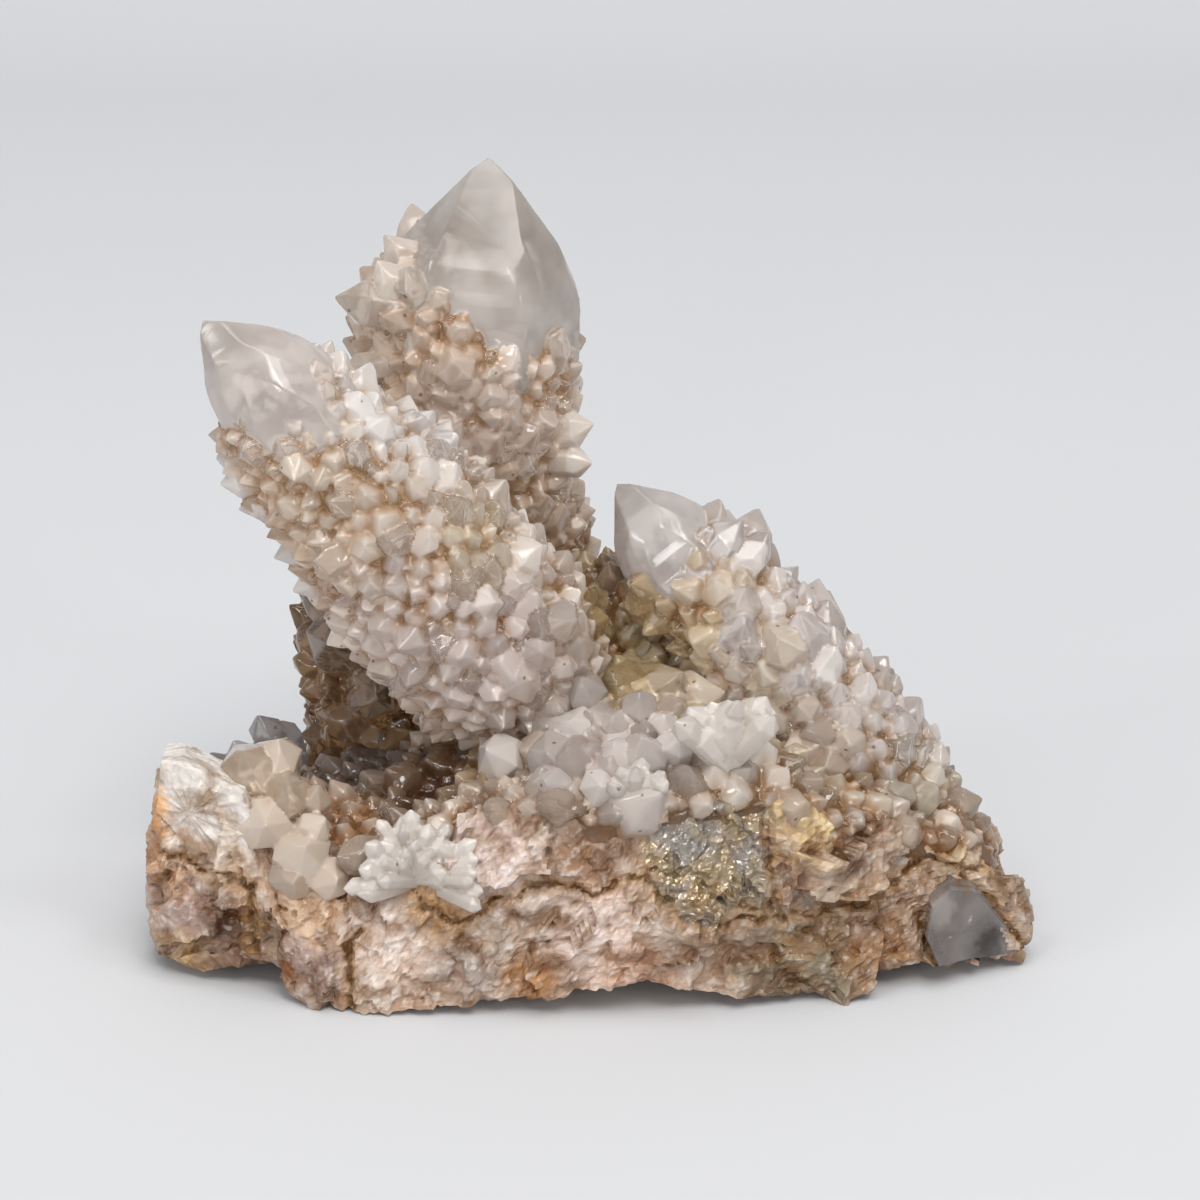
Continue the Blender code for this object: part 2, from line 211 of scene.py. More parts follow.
FLAT_SPOT_HALF = np.array((19.0, 12.0))
MOUND_SOFTNESS = 2.0
MOUND_PULL = 1.45
EDGE_STEPS = 14
UNDERSIDE_ROWS = 12
WALL_ROWS = 46
TOP_ROWS = 26
WALL_SWELL = 0.9
TOP_SINK = 0.9
BLOCK = 6.2
CHIP = 2.1
GRAIN = 0.85

WHITE_QUARTZ = (0.74, 0.69, 0.67)
MILKY = (0.84, 0.80, 0.78)
LILAC = (0.70, 0.60, 0.62)
PEACH = (0.80, 0.58, 0.40)
OCHRE = (0.58, 0.38, 0.13)
PALE_YELLOW = (0.78, 0.68, 0.44)
RUST = (0.34, 0.155, 0.045)
RUSTY_BROWN = (0.22, 0.12, 0.055)
SMOKY = (0.27, 0.20, 0.15)
GREY = (0.40, 0.37, 0.35)
BRONZE = (0.42, 0.35, 0.24)

# Stains on the broken front: a place, how far it reaches, and its colour.
SLAB_STAINS = [
    ((-32.8, -12.5, 7.1), 5.0, (0.55, 0.46, 0.45)),
    ((-36.0, -12.0, 10.0), 4.0, (0.74, 0.54, 0.40)),
    ((-31.9, -15.5, 14.6), 5.4, (0.93, 0.91, 0.90)),
    ((-37.0, -12.5, 14.0), 2.6, (0.68, 0.40, 0.18)),
    ((-34.0, -14.5, 2.0), 3.0, (0.66, 0.53, 0.32)),
    ((-28.9, -16.8, 5.6), 3.8, RUSTY_BROWN),
    ((-22.7, -19.0, 4.0), 4.2, (0.46, 0.37, 0.35)),
    ((-24.8, -18.6, 3.2), 1.4, RUST),
    ((-22.7, -19.0, 9.5), 4.5, (0.76, 0.62, 0.50)),
    ((-16.6, -20.5, 5.6), 4.5, (0.90, 0.86, 0.86)),
    ((-12.1, -20.0, 9.3), 3.4, (0.70, 0.53, 0.35)),
    ((-10.4, -21.5, 3.6), 3.6, (0.58, 0.53, 0.51)),
    ((-7.1, -20.0, 13.9), 4.6, (0.88, 0.84, 0.87)),
    ((0.3, -21.5, 6.9), 6.0, (0.82, 0.76, 0.76)),
    ((-1.0, -20.5, 14.0), 3.6, (0.46, 0.35, 0.28)),
    ((4.4, -21.5, 3.0), 4.8, (0.74, 0.60, 0.53)),
    ((-4.5, -21.5, 2.6), 3.0, (0.60, 0.40, 0.24)),
    ((10.4, -20.0, 14.3), 6.4, (0.50, 0.44, 0.34)),
    ((9.5, -20.5, 9.6), 2.8, (0.42, 0.26, 0.13)),
    ((18.9, -18.0, 17.4), 5.4, (0.84, 0.74, 0.52)),
    ((21.6, -17.0, 12.2), 2.1, RUSTY_BROWN),
    ((22.2, -17.0, 8.6), 3.0, (0.84, 0.77, 0.68)),
    ((18.5, -19.5, 3.6), 6.0, (0.38, 0.34, 0.26)),
    ((25.8, -16.5, 3.6), 4.0, (0.46, 0.32, 0.21)),
    ((31.5, -12.5, 12.6), 5.0, (0.80, 0.70, 0.53)),
    ((35.0, -10.5, 9.6), 3.6, (0.88, 0.84, 0.78)),
    ((32.8, -13.0, 4.4), 4.0, (0.42, 0.39, 0.39)),
]
# Thin seams of iron along the front, as places that they pass through.
IRON_SEAMS = [
    [(-9.4, 8.9), (-7.0, 10.2), (-4.2, 11.7), (-2.0, 11.4), (0.5, 10.5), (3.1, 11.9), (4.9, 12.2),
     (6.3, 10.2), (8.5, 9.1), (10.7, 7.9), (13.8, 7.4), (16.2, 7.7)],
    [(5.2, 12.4), (8.7, 12.4), (11.0, 10.4), (14.3, 8.2)],
    [(-37.6, 13.5), (-35.0, 11.0), (-32.9, 10.2), (-29.1, 10.6), (-28.0, 10.0), (-28.2, 4.5)],
    [(16.2, 7.7), (20.9, 8.0), (24.6, 8.6), (27.4, 10.0), (29.4, 11.3), (31.0, 11.0), (33.4, 9.7), (36.6, 9.4)],
    [(32.6, 9.4), (34.6, 5.6), (37.6, 0.6)],
    [(29.0, 6.1), (29.7, 1.6)],
    [(-19.6, 1.2), (-19.8, 5.4), (-18.8, 7.4)],
    [(-14.2, 10.4), (-12.0, 8.2), (-9.6, 8.9)],
    [(14.6, 17.5), (15.4, 13.0), (15.2, 8.2)],
]
SEAM_FADES = 4.0
STAIN_DEPTH = 1.45
SLAB_WARMTH = (0.98, 0.94, 0.88)
# The patch of the front that glitters: its place and reach.
GLITTER_PLACE = (10.4, -20.0, 13.4)
GLITTER_REACH = 5.6
# Parts of the front that stand forward of the rest: a place, how far it reaches, how far out.
LEDGES = [
    ((-6.0, -20.0, 14.5), 6.0, 0.6),
    ((9.5, -20.5, 9.6), 3.4, 0.7),
    ((20.0, -18.0, 16.5), 5.0, 0.7),
]


def smooth_ring(points, steps):
    """A closed Catmull-Rom curve through the points, with so many steps to a stretch."""
    points = np.array(points, float)
    before, end, after = np.roll(points, 1, 0), np.roll(points, -1, 0), np.roll(points, -2, 0)
    t = (np.arange(steps) / steps)[None, :, None]
    before, start, end, after = (side[:, None, :] for side in (before, points, end, after))
    bend = (2 * before - 5 * start + 4 * end - after) * t**2
    twist = (3 * start - before - 3 * end + after) * t**3
    return ((2 * start + (end - before) * t + bend + twist) / 2).reshape(-1, 3)


def top_height(x, y):
    """Height of the slab's top, from the hollows, mounds and rim near each place."""
    anchors = np.array(SLAB_TOP + [rim for _, rim in SLAB_EDGE])
    away = (x[..., None] - anchors[:, 0]) ** 2 + (y[..., None] - anchors[:, 1]) ** 2
    weight = (away + MOUND_SOFTNESS) ** -MOUND_PULL
    return (weight * anchors[:, 2]).sum(-1) / weight.sum(-1)


def smooth_step(share):
    share = np.clip(share, 0, 1)
    return share * share * (3 - 2 * share)


def cloudy(places, size):
    """Noise from about -1 to 1 at each place, with clouds of this size."""
    return np.array([noise.noise(Vector(place) / size) for place in places])


def loft(name, rings, start, end):
    """A closed skin over rings of places, drawn to a point at each end."""
    rows, count, _ = rings.shape
    verts = np.concatenate([rings.reshape(-1, 3), [start, end]])
    first = np.arange(count)
    after = (first + 1) % count
    faces = []
    for row in range(rows - 1):
        low, high = row * count, (row + 1) * count
        faces += np.column_stack([first + low, after + low, after + high, first + high]).tolist()
    faces += [(a, rows * count, b) for a, b in zip(first.tolist(), after.tolist())]
    top = (rows - 1) * count
    faces += [(a + top, b + top, rows * count + 1) for a, b in zip(first.tolist(), after.tolist())]
    mesh = bpy.data.meshes.new(name)
    mesh.from_pydata(verts.tolist(), [], faces)
    bm = bmesh.new()
    bm.from_mesh(mesh)
    bmesh.ops.recalc_face_normals(bm, faces=bm.faces)
    bm.to_mesh(mesh)
    bm.free()
    mesh.update()
    return mesh


def places_of(mesh):
    places = np.empty(len(mesh.vertices) * 3)
    mesh.vertices.foreach_get("co", places)
    return places.reshape(-1, 3)


def directions_of(mesh):
    outward = np.empty(len(mesh.vertices) * 3, np.float32)
    mesh.vertex_normals.foreach_get("vector", outward)
    return outward.reshape(-1, 3).astype(float)


def keep(mesh, name, values):
    """Stores a value, direction or colour for each of the mesh's points."""
    kind = {1: ("FLOAT", "value"), 3: ("FLOAT_VECTOR", "vector"), 4: ("FLOAT_COLOR", "color")}
    values = np.asarray(values, np.float32).reshape(len(mesh.vertices), -1)
    data_type, field = kind[values.shape[1]]
    mesh.attributes.new(name, data_type, "POINT").data.foreach_set(field, values.ravel())


def stained(places, clean, stains, breakup=3.0):
    """The colour at each place: the clean quartz, with stains that end in ragged clouds."""
    colour = np.tile(np.array(clean, float), (len(places), 1))
    ragged = cloudy(places, breakup) * 0.4 + cloudy(places, breakup / 3) * 0.35
    for place, reach, stain in stains:
        away = np.linalg.norm(places - np.array(place), axis=1) / reach
        share = smooth_step((1.15 - away + ragged) / 0.75)[:, None]
        colour = colour * (1 - share) + np.array(stain) * share
    return np.column_stack([colour, np.ones(len(places))])


def split(places, size, tilt, step):
    """How far each place stands out on a fracture of flat chips of this size."""
    out = np.empty(len(places))
    for i, place in enumerate(places):
        spot = Vector(place) / size
        _, centres = noise.voronoi(spot)
        lean = noise.cell_vector(centres[0] * 7.3) - Vector((0.5, 0.5, 0.5))
        out[i] = (spot - centres[0]).dot(lean) * tilt + (noise.cell(centres[0] * 3.1) - 0.5) * step
    return out


def away_from_line(x, z, line):
    """The distance of each place on the front from a line through the given places."""
    nearest = np.full(len(x), 1e9)
    for (ax, az), (bx, bz) in zip(line, line[1:]):
        along_x, along_z = bx - ax, bz - az
        share = ((x - ax) * along_x + (z - az) * along_z) / (along_x**2 + along_z**2)
        share = np.clip(share, 0, 1)
        nearest = np.minimum(nearest, np.hypot(x - ax - share * along_x, z - az - share * along_z))
    return nearest


def build_slab_mesh():
    low_edge = smooth_ring([low for low, _ in SLAB_EDGE], EDGE_STEPS)
    rim = smooth_ring([rim for _, rim in SLAB_EDGE], EDGE_STEPS)
    away = low_edge[:, :2] - FLAT_SPOT_CENTRE
    reach = np.hypot(away[:, 0] / FLAT_SPOT_HALF[0], away[:, 1] / FLAT_SPOT_HALF[1])
    spot = np.column_stack([FLAT_SPOT_CENTRE + away / reach[:, None], np.zeros(len(away))])
    centre = np.array([*FLAT_SPOT_CENTRE, 0])
    rings, loose = [], []
    for share in np.linspace(0.15, 1, 4):
        rings.append(centre + (spot - centre) * share)
        loose.append(0.0)
    for share in np.linspace(0, 1, UNDERSIDE_ROWS)[1:]:
        rings.append(spot + (low_edge - spot) * share)
        loose.append(share)
    outward = low_edge[:, :2] / np.linalg.norm(low_edge[:, :2], axis=1)[:, None]
    for share in np.linspace(0, 1, WALL_ROWS)[1:-1]:
        ring = low_edge + (rim - low_edge) * share
        ring[:, :2] += outward * WALL_SWELL * math.sin(math.pi * share)
        rings.append(ring)
        loose.append(1.0)
    for share in np.linspace(0, 0.97, TOP_ROWS):
        flat = rim[:, :2] + (SLAB_HUB - rim[:, :2]) * share
        height = top_height(flat[:, 0], flat[:, 1])
        sink = TOP_SINK * min(1, share * 8)
        rings.append(np.column_stack([flat, height - sink]))
        loose.append(1.0 if share < 0.12 else 0.45)
    hub = np.array([*SLAB_HUB, top_height(SLAB_HUB[:1], SLAB_HUB[1:])[0] - TOP_SINK])
    mesh = loft("slab", np.array(rings), centre, hub)
    loose = np.concatenate([np.repeat(loose, len(rim)), [0, 0.45]])
    return mesh, loose


def break_slab(mesh, loose):
    """Splits the smooth slab into blocks, chips and grains, and opens the iron seams."""
    places, outward = places_of(mesh), directions_of(mesh)
    wander = np.array([noise.noise_vector(Vector(place) / 4.0) for place in places]) * 1.6
    blocks = split(places + wander, BLOCK, 1.5, 1.1)
    chips = split(places + wander * 0.4, CHIP, 0.5, 0.25)
    grains = split(places, GRAIN, 0.3, 0.14)
    behind = 4.0 * smooth_step((places[:, 1] + 9.0) / 3.0)
    wobble = cloudy(places, 2.2) * 1.0 + cloudy(places, 0.9) * 0.5
    seams = np.full(len(places), SEAM_FADES)
    for line in IRON_SEAMS:
        away = away_from_line(places[:, 0], places[:, 2] + wobble, line)
        seams = np.minimum(seams, away + behind)
    out = (blocks + chips + grains) * loose - 0.45 * smooth_step(1.0 - seams / 0.8)
    for place, reach, height in LEDGES:
        away = np.linalg.norm(places - np.array(place), axis=1) / reach
        out += height * smooth_step((1.1 - away) / 0.25)
    places = places + outward * out[:, None]
    places[:, 2] = np.maximum(places[:, 2], 0.0)
    return places, seams, chips + grains


slab_mesh, slab_loose = build_slab_mesh()
slab_places, slab_seams, slab_relief = break_slab(slab_mesh, slab_loose)
slab_mesh.vertices.foreach_set("co", slab_places.ravel())
slab_mesh.update()


def add_node(tree, kind, **settings):
    """A node, with its settings, and its inputs by name: a value, or a socket to link."""
    node = tree.nodes.new(kind)
    inputs = settings.pop("inputs", {})
    for name, value in settings.items():
        setattr(node, name, value)
    for name, value in inputs.items():
        socket = node.inputs[name]
        if isinstance(value, bpy.types.NodeSocket):
            tree.links.new(value, socket)
        else:
            socket.default_value = value
    return node


def new_material(name):
    material = bpy.data.materials.new(name)
    material.use_nodes = True
    tree = material.node_tree
    return material, tree, tree.nodes["Principled BSDF"]


def ramp(tree, factor, stops):
    """A colour ramp, or a grey one where the stops are numbers."""
    node = tree.nodes.new("ShaderNodeValToRGB")
    tree.links.new(factor, node.inputs["Fac"])
    while len(node.color_ramp.elements) < len(stops):
        node.color_ramp.elements.new(0.5)
    for element, (place, colour) in zip(node.color_ramp.elements, stops):
        element.position = place
        element.color = (*colour, 1) if isinstance(colour, tuple) else (colour, colour, colour, 1)
    return node.outputs["Color"]


def mix_colours(tree, share, first, second, blend="MIX"):
    node = tree.nodes.new("ShaderNodeMix")
    node.data_type = "RGBA"
    node.blend_type = blend
    for socket, value in zip((node.inputs[0], node.inputs[6], node.inputs[7]), (share, first, second)):
        if isinstance(value, bpy.types.NodeSocket):
            tree.links.new(value, socket)
        else:
            socket.default_value = (*value, 1) if isinstance(value, tuple) else value
    return node.outputs[2]


def vein_quartz():
    """Broken milky quartz: white grains among stained ones, dirt in the hollows, rust in the
    seams, and the patch that glitters like bronze."""
    material, tree, shader = new_material("vein_quartz")
    at = tree.nodes.new("ShaderNodeTexCoord").outputs["Object"]
    tint = add_node(tree, "ShaderNodeAttribute", attribute_name="tint").outputs["Color"]
    seam = add_node(tree, "ShaderNodeAttribute", attribute_name="seam").outputs["Fac"]
    shine = add_node(tree, "ShaderNodeAttribute", attribute_name="shine").outputs["Fac"]
    dirt = add_node(
        tree, "ShaderNodeTexNoise", inputs={"Vector": at, "Scale": 300.0, "Detail": 4.0, "Distortion": 0.8}
    )
    grain = add_node(tree, "ShaderNodeTexVoronoi", inputs={"Vector": at, "Scale": 1300.0})
    sugar = add_node(tree, "ShaderNodeTexNoise", inputs={"Vector": at, "Scale": 1100.0, "Detail": 3.0})
    white = ramp(tree, sugar.outputs["Fac"], [(0.56, 0.0), (0.7, 0.45)])
    body = mix_colours(tree, white, tint, (0.86, 0.82, 0.79))
    dirty = ramp(tree, dirt.outputs["Fac"], [(0.37, (0.38, 0.25, 0.15)), (0.58, (0.96, 0.93, 0.90))])
    body = mix_colours(tree, 0.9, body, dirty, "MULTIPLY")
    ragged = add_node(tree, "ShaderNodeMath", operation="MULTIPLY", inputs={0: sugar.outputs["Fac"], 1: 0.24})
    near = add_node(tree, "ShaderNodeMath", operation="MULTIPLY_ADD", inputs={0: seam, 1: 0.2, 2: ragged.outputs[0]})
    halo = ramp(tree, near.outputs[0], [(0.14, 0.65), (0.32, 0.0)])
    body = mix_colours(tree, halo, body, (0.44, 0.25, 0.10))
    in_seam = ramp(tree, near.outputs[0], [(0.15, 1.0), (0.2, 0.0)])
    body = mix_colours(tree, in_seam, body, (0.14, 0.065, 0.02))
    bronze = ramp(tree, dirt.outputs["Fac"], [(0.42, (0.36, 0.35, 0.33)), (0.6, (0.44, 0.35, 0.22))])
    shiny = add_node(tree, "ShaderNodeMath", operation="MULTIPLY", inputs={0: shine, 1: 0.7})
    colour = mix_colours(tree, shiny.outputs[0], body, bronze)
    tree.links.new(colour, shader.inputs["Base Color"])
    metal = add_node(tree, "ShaderNodeMath", operation="MULTIPLY", inputs={0: shine, 1: 0.45})
    tree.links.new(metal.outputs[0], shader.inputs["Metallic"])
    dull = ramp(tree, sugar.outputs["Fac"], [(0.35, 0.22), (0.65, 0.55)])
    tree.links.new(mix_colours(tree, shine, dull, (0.2, 0.2, 0.2)), shader.inputs["Roughness"])
    shader.inputs["IOR"].default_value = 1.544
    rougher = add_node(tree, "ShaderNodeMath", operation="MULTIPLY_ADD", inputs={0: shine, 1: 0.4, 2: 0.6})
    grainy = add_node(tree, "ShaderNodeBump", inputs={
        "Height": grain.outputs["Distance"], "Strength": rougher.outputs[0], "Distance": 0.0004})
    fine = add_node(tree, "ShaderNodeBump", inputs={
        "Height": sugar.outputs["Fac"], "Strength": 0.5, "Distance": 0.0003, "Normal": grainy.outputs["Normal"]})
    tree.links.new(fine.outputs["Normal"], shader.inputs["Normal"])
    return material


def finish_piece(name, mesh, material):
    """The mesh, drawn in millimetres, as a finished piece of the cluster."""
    mesh.transform(((MM, 0, 0, 0), (0, MM, 0, 0), (0, 0, MM, 0), (0, 0, 0, 1)))
    mesh.name = name
    mesh.materials.clear()
    mesh.materials.append(material)
    piece = bpy.data.objects.new(name, mesh)
    bpy.context.scene.collection.objects.link(piece)
    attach(piece, "root")
    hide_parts("quartz_cluster")
    return piece


slab_tint = stained(slab_places, (0.62, 0.55, 0.50), SLAB_STAINS)
slab_tint[:, :3] = slab_tint[:, :3] ** STAIN_DEPTH * SLAB_WARMTH
slab_cloud = cloudy(slab_places, 7.0)[:, None]
slab_tint[:, :3] *= 1 + 0.12 * slab_cloud
slab_low = smooth_step((-0.05 - slab_relief) / 0.35)[:, None]
slab_tint[:, :3] = slab_tint[:, :3] * (1 - 0.45 * slab_low) + np.array(RUST) * 0.45 * slab_low
keep(slab_mesh, "tint", slab_tint)
keep(slab_mesh, "seam", slab_seams)
slab_away = np.linalg.norm(slab_places - np.array(GLITTER_PLACE), axis=1) / GLITTER_REACH
keep(slab_mesh, "shine", smooth_step((1.1 - slab_away + 0.4 * cloudy(slab_places, 1.6)) / 0.3))
vein_material = vein_quartz()
finish_piece("slab", slab_mesh, vein_material)

# The white block at the slab's left end: a flat break across fibres that spread from one spot.
BLOCK_OUTLINE = [
    (-35.4, 19.4), (-33.7, 19.6), (-28.2, 17.8), (-27.6, 16.2), (-27.8, 12.8), (-28.4, 10.9), (-31.5, 10.4),
    (-36.0, 14.9),
]
FIBRES_FROM = np.array((-33.0, 15.2))
FIBRE_RELIEF = 0.22
FIBRE_FINENESS = 6.5
BLOCK_THICKNESS = 5.0


def build_block(name, corners, middle, face_at, relief, fineness):
    """A block with a flat face: the face from its middle to its outline, its worn edge, and its
    back. The face is a place along X, its depth there, and how its depth changes along X."""
    along = np.arange(0, len(corners), 0.05)
    ends = np.array([*corners, corners[0]])
    outline = np.column_stack([np.interp(along, range(len(ends)), ends[:, side]) for side in (0, 1)])
    steps = [(share, 0.0) for share in np.linspace(0.08, 0.96, 14)] + [(1.0, 0.5), (0.97, BLOCK_THICKNESS)]
    rings = []
    for share, back in steps:
        flat = middle + (outline - middle) * share
        turns = np.arctan2(*(flat - middle).T)
        wave = [noise.noise((math.cos(turn) * fineness, math.sin(turn) * fineness, share * 0.7)) for turn in turns]
        y = face_at[1] + (flat[:, 0] - face_at[0]) * face_at[2] + back
        y -= np.array(wave) * relief * min(1, share * 3)
        rings.append(np.column_stack([flat[:, 0], y, flat[:, 1]]))
    return loft(name, np.array(rings), rings[0].mean(axis=0), rings[-1].mean(axis=0))


block_mesh = build_block(
    "white_block", BLOCK_OUTLINE, FIBRES_FROM, (-36.0, -12.9, -0.42), FIBRE_RELIEF, FIBRE_FINENESS
)
block_places = places_of(block_mesh)
BLOCK_STAINS = [
    ((-36.2, -13.0, 15.6), 2.0, (0.72, 0.42, 0.20)),
    ((-33.6, -14.0, 12.4), 1.6, (0.66, 0.44, 0.28)),
    ((-30.0, -15.5, 10.4), 1.4, (0.50, 0.32, 0.17)),
]
keep(block_mesh, "tint", stained(block_places, (0.76, 0.73, 0.70), BLOCK_STAINS, 1.5))
keep(block_mesh, "seam", np.full(len(block_places), SEAM_FADES))
keep(block_mesh, "shine", np.zeros(len(block_places)))
finish_piece("white_block", block_mesh, vein_material)


# The crust
# Crystals a few millimetres long that grew over everything: stubby six-sided prisms, each
# ending in six faces, set side by side so that little more than their tips can be seen,
# with a druse of still smaller ones between them.
FACE_LEAN = math.radians(38.2)
WORN_SHAPES = 7
SHARP_SHAPES = 5
SHAPE_FOOT = -0.9
SHAPE_TIP = 1.35
WORN_BEVEL = 0.12
DRUSE_SPACING = 1.25
DRUSE_WIDTH = 0.6
DRUSE_WANDER = 0.75
FACET_ANGLE = math.radians(34)
# What iron stain and painted shade between the crystals take from the light, and what is
# left of their colour there; how far above the bed they reach; the painted highlight on edges.
IRON_AND_SHADE_TINT = np.array((0.60, 0.38, 0.17))
IRON_AND_SHADE_DEPTH = 1.15
PAINTED_EDGE_HIGHLIGHT = np.array((0.90, 0.86, 0.82))


def face_planes(apex, axis, across, sides, turn=0.0):
    """The faces of a quartz crystal, as a place and a direction: six sides, six tip faces.
    Each side is its distance from the axis, and how far above the apex its tip face is."""
    front = across.cross(axis).normalized()
    planes = []
    for side, (distance, rise) in enumerate(sides):
        angle = math.radians(60 * side + turn)
        out = across * math.cos(angle) + front * math.sin(angle)
        planes.append((apex + out * distance, out))
        planes.append((apex + axis * rise, out * math.cos(FACE_LEAN) + axis * math.sin(FACE_LEAN)))
    return planes


def wear_edges(bm, edges, width, segments=1):
    bmesh.ops.bevel(
        bm, geom=edges, offset=width, segments=segments, profile=0.5, affect="EDGES", clamp_overlap=True
    )


def cut_crystal(size, middle, planes):
    """A block cut by the planes."""
    bm = bmesh.new()
    bmesh.ops.create_cube(bm, size=size)
    bmesh.ops.translate(bm, vec=middle, verts=bm.verts)
    for place, out in planes:
        geometry = bm.verts[:] + bm.edges[:] + bm.faces[:]
        bmesh.ops.bisect_plane(bm, geom=geometry, plane_co=place, plane_no=out, clear_outer=True)
        bmesh.ops.holes_fill(bm, edges=bm.edges)
    bmesh.ops.recalc_face_normals(bm, faces=bm.faces)
    return bm


def make_shapes(name, count, bevel):
    """A few small crystals, no two alike, standing on the crust's bed."""
    rng = random.Random(SEED)
    shapes = bpy.data.collections.new(name)
    for number in range(count):
        sides = [(rng.uniform(0.72, 1.05), rng.uniform(0.0, 0.5)) for _ in range(6)]
        sides[rng.randrange(6)] = (0.9, 0.0)
        apex = Vector((0, 0, SHAPE_TIP + rng.uniform(-0.2, 0.25)))
        up = Vector((0, 0, 1))
        planes = [(Vector((0, 0, SHAPE_FOOT)), -up)]
        planes += face_planes(apex, up, Vector((1, 0, 0)), sides)
        bm = cut_crystal(12.0, Vector((0, 0, 0)), planes)
        if bevel:
            wear_edges(bm, bm.edges[:], bevel)
        mesh = bpy.data.meshes.new(f"{name}_{number}")
        bm.to_mesh(mesh)
        bm.free()
        shapes.objects.link(bpy.data.objects.new(mesh.name, mesh))
    return shapes


def crust_tree():
    """Grows crystals on a bed: each leans as the bed's own grow direction says."""
    tree = bpy.data.node_groups.new("grow_crust", "GeometryNodeTree")
    face = tree.interface
    for name, kind in (
        ("Bed", "NodeSocketGeometry"),
        ("Spacing", "NodeSocketFloat"),
        ("Width", "NodeSocketFloat"),
        ("Wander", "NodeSocketFloat"),
        ("Seed", "NodeSocketInt"),
        ("Shapes", "NodeSocketCollection"),
        ("Material", "NodeSocketMaterial"),
    ):
        face.new_socket(name, in_out="INPUT", socket_type=kind)
    face.new_socket("Crystals", in_out="OUTPUT", socket_type="NodeSocketGeometry")
    given = tree.nodes.new("NodeGroupInput").outputs
    read = {}
    for name, kind in (("cover", "FLOAT"), ("size", "FLOAT"), ("grow", "FLOAT_VECTOR")):
        node = add_node(tree, "GeometryNodeInputNamedAttribute", data_type=kind, inputs={"Name": name})
        read[name] = node.outputs["Attribute"]
    spots = add_node(
        tree,
        "GeometryNodeDistributePointsOnFaces",
        distribute_method="POISSON",
        inputs={"Mesh": given["Bed"], "Distance Min": given["Spacing"], "Density Max": 6.0,
                "Density Factor": read["cover"], "Seed": given["Seed"]},
    )
    stray = add_node(tree, "FunctionNodeRandomValue", data_type="FLOAT_VECTOR", inputs={"Seed": given["Seed"]})
    stray.inputs[0].default_value = (-1, -1, -1)
    stray.inputs[1].default_value = (1, 1, 1)
    strayed = add_node(tree, "ShaderNodeVectorMath", operation="SCALE",
                       inputs={0: stray.outputs[0], "Scale": given["Wander"]})
    towards = add_node(tree, "ShaderNodeVectorMath", operation="ADD",
                       inputs={0: read["grow"], 1: strayed.outputs[0]})
    stand = add_node(tree, "FunctionNodeAlignRotationToVector", axis="Z", inputs={"Vector": towards.outputs[0]})
    spin = add_node(tree, "FunctionNodeRandomValue", data_type="FLOAT")
    spin.inputs[3].default_value = math.tau
    twist = add_node(tree, "FunctionNodeAxisAngleToRotation", inputs={"Axis": (0, 0, 1), "Angle": spin.outputs[1]})
    turned = add_node(tree, "FunctionNodeRotateRotation", rotation_space="LOCAL",
                      inputs={"Rotation": stand.outputs[0], "Rotate By": twist.outputs[0]})
    chance = add_node(tree, "FunctionNodeRandomValue", data_type="FLOAT")
    rare = add_node(tree, "ShaderNodeMath", operation="POWER", inputs={0: chance.outputs[1], 1: 2.0})
    spread = add_node(tree, "ShaderNodeMath", operation="MULTIPLY_ADD", inputs={0: rare.outputs[0], 1: 0.7, 2: 0.7})
    stretch = add_node(tree, "FunctionNodeRandomValue", data_type="FLOAT", inputs={"Seed": 9})
    stretch.inputs[2].default_value = 0.85
    stretch.inputs[3].default_value = 1.25
    wide = add_node(tree, "ShaderNodeMath", operation="MULTIPLY", inputs={0: spread.outputs[0], 1: given["Width"]})
    wide = add_node(tree, "ShaderNodeMath", operation="MULTIPLY", inputs={0: wide.outputs[0], 1: read["size"]})
    tall = add_node(tree, "ShaderNodeMath", operation="MULTIPLY", inputs={0: wide.outputs[0], 1: stretch.outputs[1]})
    scale = add_node(tree, "ShaderNodeCombineXYZ",
                     inputs={0: wide.outputs[0], 1: wide.outputs[0], 2: tall.outputs[0]})
    shapes = add_node(tree, "GeometryNodeCollectionInfo",
                      inputs={"Collection": given["Shapes"], "Separate Children": True, "Reset Children": True})
    grown = add_node(
        tree,
        "GeometryNodeInstanceOnPoints",
        inputs={"Points": spots.outputs["Points"], "Instance": shapes.outputs[0], "Pick Instance": True,
                "Rotation": turned.outputs[0], "Scale": scale.outputs[0]},
    )
    luck = add_node(tree, "FunctionNodeRandomValue", data_type="FLOAT", inputs={"Seed": 4})
    marked = add_node(tree, "GeometryNodeStoreNamedAttribute", data_type="FLOAT", domain="INSTANCE",
                      inputs={"Geometry": grown.outputs[0], "Name": "luck", "Value": luck.outputs[1]})
    real = add_node(tree, "GeometryNodeRealizeInstances", inputs={"Geometry": marked.outputs[0]})
    set_material = add_node(tree, "GeometryNodeSetMaterial",
                            inputs={"Geometry": real.outputs[0], "Material": given["Material"]})
    out = tree.nodes.new("NodeGroupOutput")
    tree.links.new(set_material.outputs[0], out.inputs["Crystals"])
    return tree


